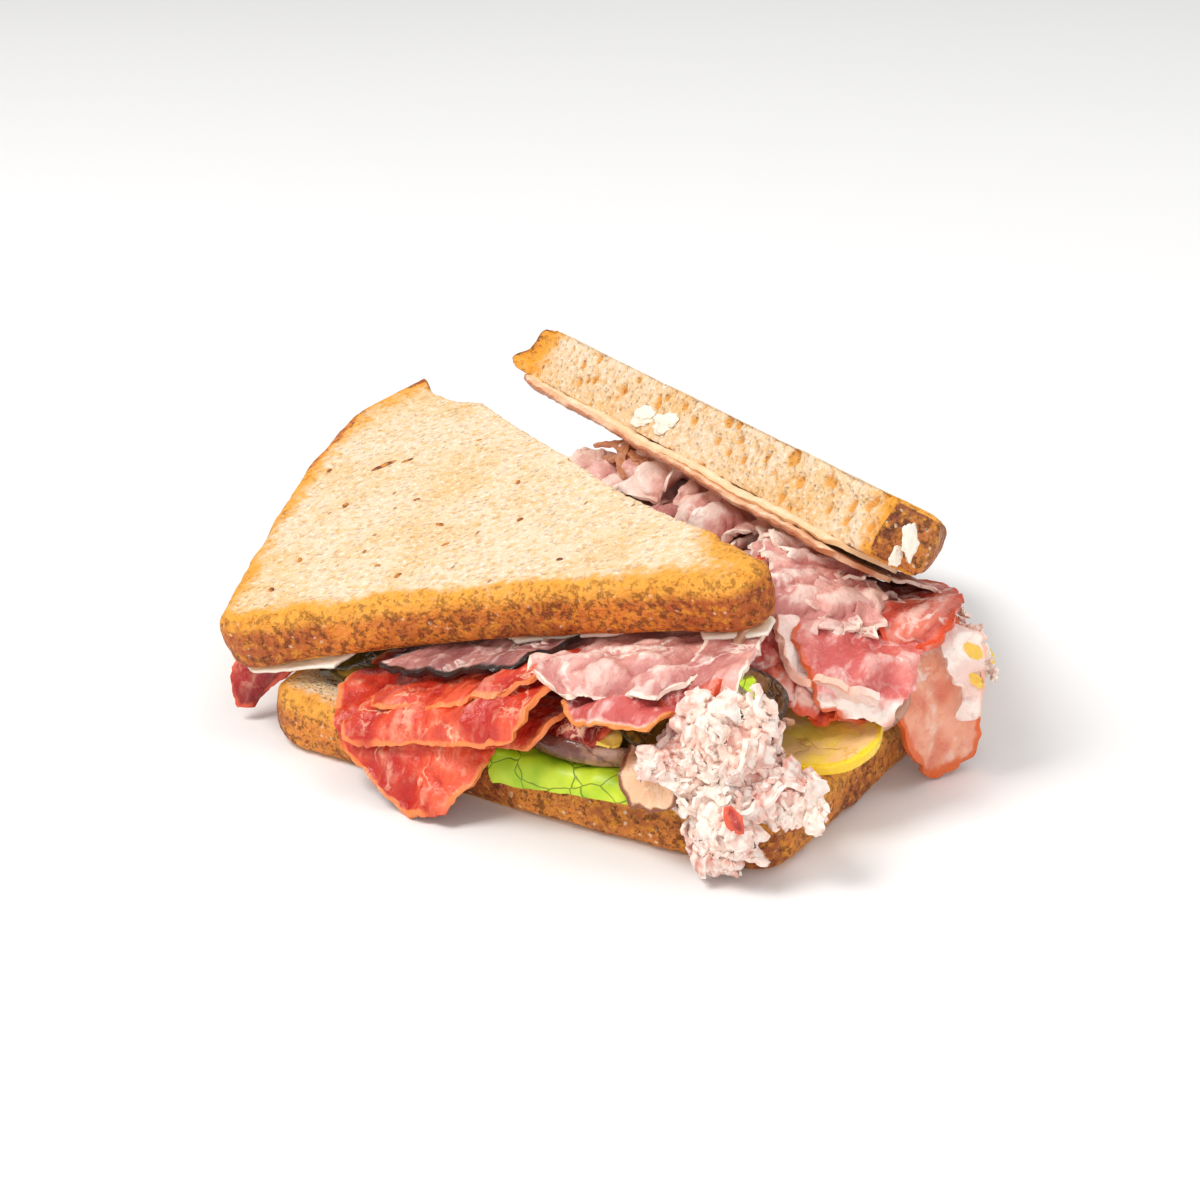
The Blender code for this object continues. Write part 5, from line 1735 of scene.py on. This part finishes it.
@dataclass
class ShreddedHeap:
    """A heap of torn chicken: the solid's own form, softened, under hundreds of small torn shreds.

    Attributes:
        node: The solid that it stands for.
        shreds: How many shreds lie on it.
        seed: Picks their places.
        size: How long a shred is, in millimetres.
        below: How far under the solid's lowest point a shred may reach, in metres.
        floor_gap: How far the heap stays off the floor, in metres.
    """

    node: str
    shreds: int
    seed: int
    size: float = 5.6
    below: float = 0.0002
    floor_gap: float = 0.0003

    def lump(self, here: Vector, size: float) -> float:
        """Give the height of a heap of lumps with sharp creases between them.

        Args:
            here: Where it is read, in millimetres.
            size: How wide a lump is.

        Returns:
            0 in a crease, up to 1 on a lump.
        """
        away, places = noise.voronoi(here / size)
        top = 0.75 + 0.5 * noise.noise(Vector(places[0]) * 3.7)
        return smoothstep(0.0, 0.15, away[1] - away[0]) * top

    def core(self, solid: bpy.types.Object) -> tuple[bpy.types.Object, list[float]]:
        """Copy the solid's form, remesh it finely and raise lumps on it.

        Args:
            solid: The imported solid.

        Returns:
            The core, and how high on a lump each of its points is.
        """
        obj = solid.copy()
        obj.data = solid.data.copy()
        obj.parent = None
        for key in list(obj.keys()):
            if key.startswith("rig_"):
                del obj[key]
        bpy.context.scene.collection.objects.link(obj)
        mesh = merged(obj)
        mesh.to_mesh(obj.data)
        mesh.free()
        fine = obj.modifiers.new("fine", "REMESH")
        fine.mode = "VOXEL"
        fine.voxel_size = 0.5 * MM
        soft = obj.modifiers.new("soft", "SMOOTH")
        soft.iterations = 8
        apply_all(obj)
        count = len(obj.data.vertices)
        normals = np.empty(count * 3)
        obj.data.vertices.foreach_get("normal", normals)
        places = np.empty(count * 3)
        obj.data.vertices.foreach_get("co", places)
        heights: list[float] = []
        for k in range(count):
            here = Vector(places[3 * k : 3 * k + 3]) / MM
            bent = here + noise.noise_vector(here / 2.6) * 1.1
            bent += noise.noise_vector(here / 7.0) * 3.0
            high = 0.62 * self.lump(bent, 6.6) + 0.38 * self.lump(bent + Vector((9, 5, 0)), 3.0)
            lift = 2.2 * high - 1.4 + 0.4 * rough(here, 1.6)
            places[3 * k : 3 * k + 3] += normals[3 * k : 3 * k + 3] * lift * MM
            heights.append(high)
        obj.data.vertices.foreach_set("co", places)
        obj.data.update()
        return obj, heights

    def pattern(self, kind: int) -> bpy.types.Object:
        """Model one shred, from a small grid curled and given its thickness.

        Args:
            kind: Which of the patterns.

        Returns:
            The shred, one millimetre to a unit, lying along X.
        """
        deselect()
        bpy.ops.mesh.primitive_grid_add(x_subdivisions=8, y_subdivisions=5, size=2)
        obj = bpy.context.object
        for vertex in obj.data.vertices:
            s, b = vertex.co.x, vertex.co.y
            spot = Vector((s * 2.2, b * 2.2, kind * 7.0))
            width = (0.55 - 0.12 * s) * (1 + 0.3 * math.sin(3.1 * s + kind * 1.7)) * (1 - 0.45 * s**4)
            torn = 0.12 * noise.noise(spot * 1.3)
            curl = 0.3 * math.sin(2.2 * s + kind) + 0.2 * b * math.sin(3 * s + 2.3 * kind)
            curl += 0.3 * noise.noise(spot)
            vertex.co = (s * 0.5 + torn, b * width * 0.6 + torn, curl * 0.45)
        wall = obj.modifiers.new("thickness", "SOLIDIFY")
        wall.thickness = 0.17
        wall.offset = 0.0
        apply_all(obj)
        return obj

    def make(self, frame: dict, look: bpy.types.Material) -> bpy.types.Object:
        """Build the heap.

        Args:
            frame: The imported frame.
            look: The chicken's material.

        Returns:
            The finished heap.
        """
        solid = frame["nodes"][self.node]
        obj, heights = self.core(solid)
        chance = random.Random(self.seed)
        mesh = merged(solid)
        mesh.normal_update()
        faces = list(mesh.faces)
        weights = [f.calc_area() for f in faces]
        kinds = [self.pattern(k) for k in range(6)]
        low = min(v.co.z for v in mesh.verts)
        joined = bmesh.new()
        joined.from_mesh(obj.data)
        for k in range(self.shreds):
            face = chance.choices(faces, weights)[0]
            a, b, c = (v.co for v in face.verts[:3])
            u, v = sorted((chance.random(), chance.random()))
            spot = a * u + b * (v - u) + c * (1 - v)
            normal = face.normal
            fall = Vector((chance.gauss(0, 1), chance.gauss(0, 1), chance.gauss(-0.6, 0.7)))
            along = (fall - normal * fall.dot(normal)).normalized()
            along = (along + normal * chance.uniform(-0.1, 0.3)).normalized()
            across = normal.cross(along).normalized()
            turn = Matrix((along, across, along.cross(across))).transposed().to_quaternion()
            turn = turn @ Quaternion((1, 0, 0), chance.uniform(-0.6, 0.6))
            size = self.size * chance.uniform(0.55, 1.3) * MM
            copied = kinds[k % len(kinds)].data.copy()
            copied.transform(Matrix.LocRotScale(spot + normal * chance.uniform(-0.3, 0.5) * MM, turn,
                                                (size, size, size)))
            if min(p.co.z for p in copied.vertices) > low - self.below:
                joined.from_mesh(copied)
            bpy.data.meshes.remove(copied)
        joined.to_mesh(obj.data)
        joined.free()
        mesh.free()
        for kind in kinds:
            bpy.data.objects.remove(kind)
        for vertex in obj.data.vertices:
            vertex.co.z = max(vertex.co.z, self.floor_gap)
        count = len(obj.data.vertices)
        # Lump heights, with middling ones for the shreds: the material paints shade in the creases and
        # highlights on the lumps from them.
        heights += [chance.uniform(0.6, 0.85) for _ in range(count - len(heights))]
        store(obj, "edge_mm", [3.0] * count)
        store(obj, "fold", heights)
        smooth_shade(obj, 45)
        hand_over(obj, self.node + "_shreds", look, Slot.CHICKEN, self.node)
        return obj


# Mayonnaise


@dataclass
class Mayonnaise:
    """The mayonnaise: the layer under the left top slice and the blobs that show elsewhere.

    Attributes:
        outline: The layer's outline in the left top slice's own frame.
        low: Its underside.
        high: Its top.
        blobs: Each smear's middle, its half sizes and the way its carrier faces.
    """

    outline: list[tuple[float, float]] = field(
        default_factory=lambda: [
            (3, -3), (26, -3), (31, 6), (66, 6), (72, 1.5), (97, 1.5), (101, 6), (113, 6), (118, -3),
            (133, -3), (133, 3), (127, 9), (118, 16), (98, 30), (64, 62), (26, 97), (4, 113), (-9, 100),
            (-9, 70), (-3, 30), (-1, 4),
        ]
    )
    low: float = -1.4
    high: float = -0.45
    blobs: list[tuple[Point, Point, Point]] = field(
        default_factory=lambda: [
            ((139.0, 50.2, 60.6), (2.6, 2.4, 4.0), (0.9, -0.4, 0.1)),
            ((136.6, 49.0, 56.9), (1.9, 1.8, 2.1), (0.9, -0.4, 0.1)),
            (under_cut_edge(66, -0.35, -4.4), (4.6, 3.4, 2.0), (-0.48, -0.71, 0.51)),
            (under_cut_edge(76, -0.35, -5.4), (5.0, 3.6, 2.4), (-0.48, -0.71, 0.51)),
        ]
    )

    def layer(self, layout: Layout, slab: BreadSlice, look: bpy.types.Material) -> bpy.types.Object:
        """Make the layer: its outline extruded, remeshed finely and made uneven.

        Args:
            layout: Where the tables' frame lies.
            slab: The slice of bread above it, whose frame it shares.
            look: The mayonnaise's material.

        Returns:
            The finished layer.
        """
        obj = fine_slab(self.outline, self.low, self.high - self.low, 0.7)
        turn = slab.matrix()
        normals = [vertex.normal.copy() for vertex in obj.data.vertices]
        for vertex, normal in zip(obj.data.vertices, normals):
            here = vertex.co.copy()
            side = normal * (0.8 * rough(here, 5.0, 2.0) + 0.3 * rough(here, 1.8))
            side.z *= 0.3
            vertex.co = layout.place(turn @ (here + side))
        smooth_shade(obj, 180)
        hand_over(obj, "mayonnaise_layer", look, Slot.MAYONNAISE, "mayonnaise")
        return obj

    def spots(self, layout: Layout, look: bpy.types.Material) -> None:
        """Put down the blobs.

        Args:
            layout: Where the tables' frame lies.
            look: The mayonnaise's material.
        """
        for k, (centre, half, facing) in enumerate(self.blobs):
            out = Vector(facing).normalized()
            deselect()
            bpy.ops.mesh.primitive_ico_sphere_add(subdivisions=4, radius=1.0)
            obj = bpy.context.object
            for vertex in obj.data.vertices:
                p = vertex.co
                swell = 1 + 0.6 * rough(p, 0.9, k + 1.0) + 0.3 * rough(p, 0.35, k + 5.0)
                spot = Vector((p.x * half[0], p.y * half[1], p.z * half[2])) * swell
                spot = Vector(centre) + spot - out * (0.78 * spot.dot(out))
                vertex.co = layout.place(spot)
            smooth_shade(obj, 180)
            hand_over(obj, f"mayonnaise_blob_{k + 1}", look, Slot.MAYONNAISE)


@dataclass
class Bran:
    """The seeds and bran flakes that lie on the left top slice.

    Attributes:
        spots: Each one's place on the slice, its length, its width and the way it points in degrees.
    """

    spots: list[tuple[float, float, float, float, float]] = field(
        default_factory=lambda: [
            (12.4, 67.9, 7.2, 2.3, 40), (18.4, 69.4, 4.0, 1.8, 30), (10.4, 48.1, 2.2, 1.2, 70),
            (31.0, 47.3, 1.6, 1.1, 10), (43.5, 33.1, 2.6, 1.1, 150), (49.2, 22.9, 2.2, 1.3, 30),
            (27.6, 23.3, 2.2, 1.4, 100), (34.6, 15.8, 1.8, 1.2, 0), (42.5, 10.2, 2.4, 1.0, 60),
            (10.2, 22.4, 1.8, 1.2, 120), (65.3, 31.6, 1.6, 0.9, 40), (83.5, 10.8, 1.8, 1.0, 160),
            (-4.0, 69.1, 1.8, 1.3, 80), (36.1, 76.5, 1.4, 0.9, 20), (9.2, 9.0, 2.0, 1.2, 130),
            (57.0, 51.0, 1.3, 0.8, 75),
        ]
    )

    def make(self, layout: Layout, slab: BreadSlice, look: bpy.types.Material) -> bpy.types.Object:
        """Scatter the flakes as listed, each a small flat lens, and join them.

        Args:
            layout: Where the tables' frame lies.
            slab: The slice that they lie on.
            look: Their material.

        Returns:
            The flakes, as one piece.
        """
        deselect()
        bpy.ops.mesh.primitive_uv_sphere_add(segments=14, ring_count=8, radius=0.5)
        pattern = bpy.context.object
        joined = bmesh.new()
        turn = slab.matrix()
        for x, y, long, wide, angle in self.spots:
            copied = pattern.data.copy()
            grow = Matrix.LocRotScale(
                Vector((x, y, slab.thick + 0.05)), Quaternion((0, 0, 1), math.radians(angle)),
                Vector((long, wide, 0.7))
            )
            for vertex in copied.vertices:
                spot = grow @ vertex.co
                bend = 0.3 * rough(spot, 1.6, 3.0)
                vertex.co = layout.place(turn @ (spot + Vector((bend, bend, 0.35 * rough(spot, 9.0)))))
            joined.from_mesh(copied)
            bpy.data.meshes.remove(copied)
        joined.to_mesh(pattern.data)
        joined.free()
        smooth_shade(pattern, 180)
        hand_over(pattern, "bran_flakes", look, Slot.BREAD)
        return pattern


# Stage


@dataclass
class Studio:
    """The floor, the light and the camera."""

    azimuth: float = 30.4
    elevation: float = 22.6
    distance: float = 0.6
    target: Point = (61.0, 52.0, 30.0)
    lens: float = 77.04

    def floor(self, look: bpy.types.Material) -> None:
        """Lay the pale floor.

        Args:
            look: The floor's material.
        """
        deselect()
        bpy.ops.mesh.primitive_plane_add(size=8.0, location=(0, 0, 0))
        obj = bpy.context.object
        obj.name = "floor"
        obj.data.materials.append(look)

    def lamp(self, name: str, place: Point, size: float, power: float, colour: Colour = (1, 1, 1)) -> None:
        """Hang a soft square lamp that faces the sandwich.

        Args:
            name: Its name.
            place: Where it hangs, in metres.
            size: Its side.
            power: Its power in watts.
            colour: Its colour.
        """
        data = bpy.data.lights.new(name, "AREA")
        data.size = size
        data.energy = power
        data.color = colour
        obj = bpy.data.objects.new(name, data)
        bpy.context.scene.collection.objects.link(obj)
        obj.location = place
        obj.rotation_mode = "QUATERNION"
        obj.rotation_quaternion = (Vector((0, 0, 0.03)) - obj.location).to_track_quat("-Z", "Y")

    def make(self, layout: Layout, look: bpy.types.Material) -> None:
        """Set the stage.

        Args:
            layout: Where the tables' frame lies.
            look: The floor's material.
        """
        self.floor(look)
        self.lamp("key_soft", (-0.5, -0.7, 1.3), 0.7, 16.0, (1.0, 0.98, 0.95))
        self.lamp("top_soft", (0.5, 0.5, 1.5), 1.2, 7.5)
        self.lamp("front_fill", (0.9, -1.2, 0.5), 1.0, 6.0)
        world = bpy.data.worlds.new("studio")
        bpy.context.scene.world = world
        world.use_nodes = True
        back = world.node_tree.nodes["Background"]
        back.inputs[0].default_value = (1, 1, 1, 1)
        back.inputs[1].default_value = 0.5
        turn, rise = math.radians(self.azimuth), math.radians(self.elevation)
        away = Vector((math.sin(turn) * math.cos(rise), -math.cos(turn) * math.cos(rise), math.sin(rise)))
        data = bpy.data.cameras.new("camera")
        data.lens = self.lens
        data.clip_start = 0.01
        camera = bpy.data.objects.new("camera", data)
        bpy.context.scene.collection.objects.link(camera)
        camera.location = layout.place(Vector(self.target)) + away * self.distance
        camera.rotation_mode = "QUATERNION"
        camera.rotation_quaternion = (-away).to_track_quat("-Z", "Y")
        bpy.context.scene.camera = camera
        bpy.context.scene.view_settings.view_transform = "Standard"


def main() -> None:
    """Build the sandwich in order, from the bottom up."""
    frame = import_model()
    deselect()
    noise.seed_set(NOISE_SEED)
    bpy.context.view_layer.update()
    layout = Layout.from_frame()
    looks = Looks()
    Studio().make(layout, looks.floor())
    top = looks.bread(BreadFinish())
    well_baked = looks.bread(BreadFinish(name="bread_end", crust=srgb(206, 122, 54),
                                         crust_dark=srgb(140, 72, 30)))
    bottom = looks.bread(BreadFinish(name="bread_bottom", dust=0.12, crust=srgb(222, 132, 48),
                                     crust_dark=srgb(158, 76, 26)))
    slices = bread_slices()
    for piece, look in zip(slices, (bottom, bottom, top, well_baked)):
        piece.make(layout, look)
    Bran().make(layout, slices[2], looks.bran())
    leaf = looks.leaf()
    for piece in left_slices() + right_slices() + pile_slices() + loose_slices():
        if isinstance(piece.finish, MeatFinish):
            piece.make(layout, looks.meat(piece.finish), piece.finish.slot)
        elif isinstance(piece.finish, WetFinish):
            piece.make(layout, looks.wet(piece.finish), piece.finish.slot)
        else:
            piece.make(layout, leaf, Slot.LETTUCE)
    for round_slice in (
        PickleSlice("pickle_front", PICKLE, (103, 9, 27.2), 10.5, (0.15, -0.55, 0.82)),
        PickleSlice("pickle_small", PICKLE, (92.5, 9, 21.8), 6.5, (0.1, -0.3, 0.95), 2.4),
        PickleSlice("pepper_large", PEPPER, (125.5, 32.5, 20.4), 16.5, (0.04, -0.2, 0.98), 2.4, 0.6, 0.9),
        PickleSlice("pickle_gap", PICKLE_BROWN, (117.5, 19, 30.5), 8.0, (0.35, -0.45, 0.82), 2.8),
        PickleSlice("pepper_far", PEPPER, (141, 84, 21.5), 6.0, (0.7, -0.2, 0.65), 2.4),
    ):
        round_slice.make(layout, looks.wet(round_slice.finish))
    onion = looks.wet(ONION)
    for arc in (
        OnionArc("onion_front", (85, 15, 20.2), 18.0, 185, 355, (0.0, -0.03, 1)),
        OnionArc("onion_gap", (124, 26, 38), 12.5, 150, 285, (0.5, -0.75, 0.42)),
        OnionArc("onion_right", (125.5, 50, 24.5), 13.5, -75, 60, (0.30, -0.25, 0.93)),
    ):
        arc.make(layout, onion)
    chicken = looks.meat(CHICKEN)
    ShreddedHeap("chicken_front", 260, 5, 5.6).make(frame, chicken)
    ShreddedHeap("chicken_side", 70, 8, 3.8).make(frame, chicken)
    spread = looks.spread()
    sauce = Mayonnaise()
    sauce.layer(layout, slices[2], spread)
    sauce.spots(layout, spread)
    bpy.context.view_layer.update()


if __name__ == "__main__":
    logging.basicConfig(level=logging.INFO)
    main()
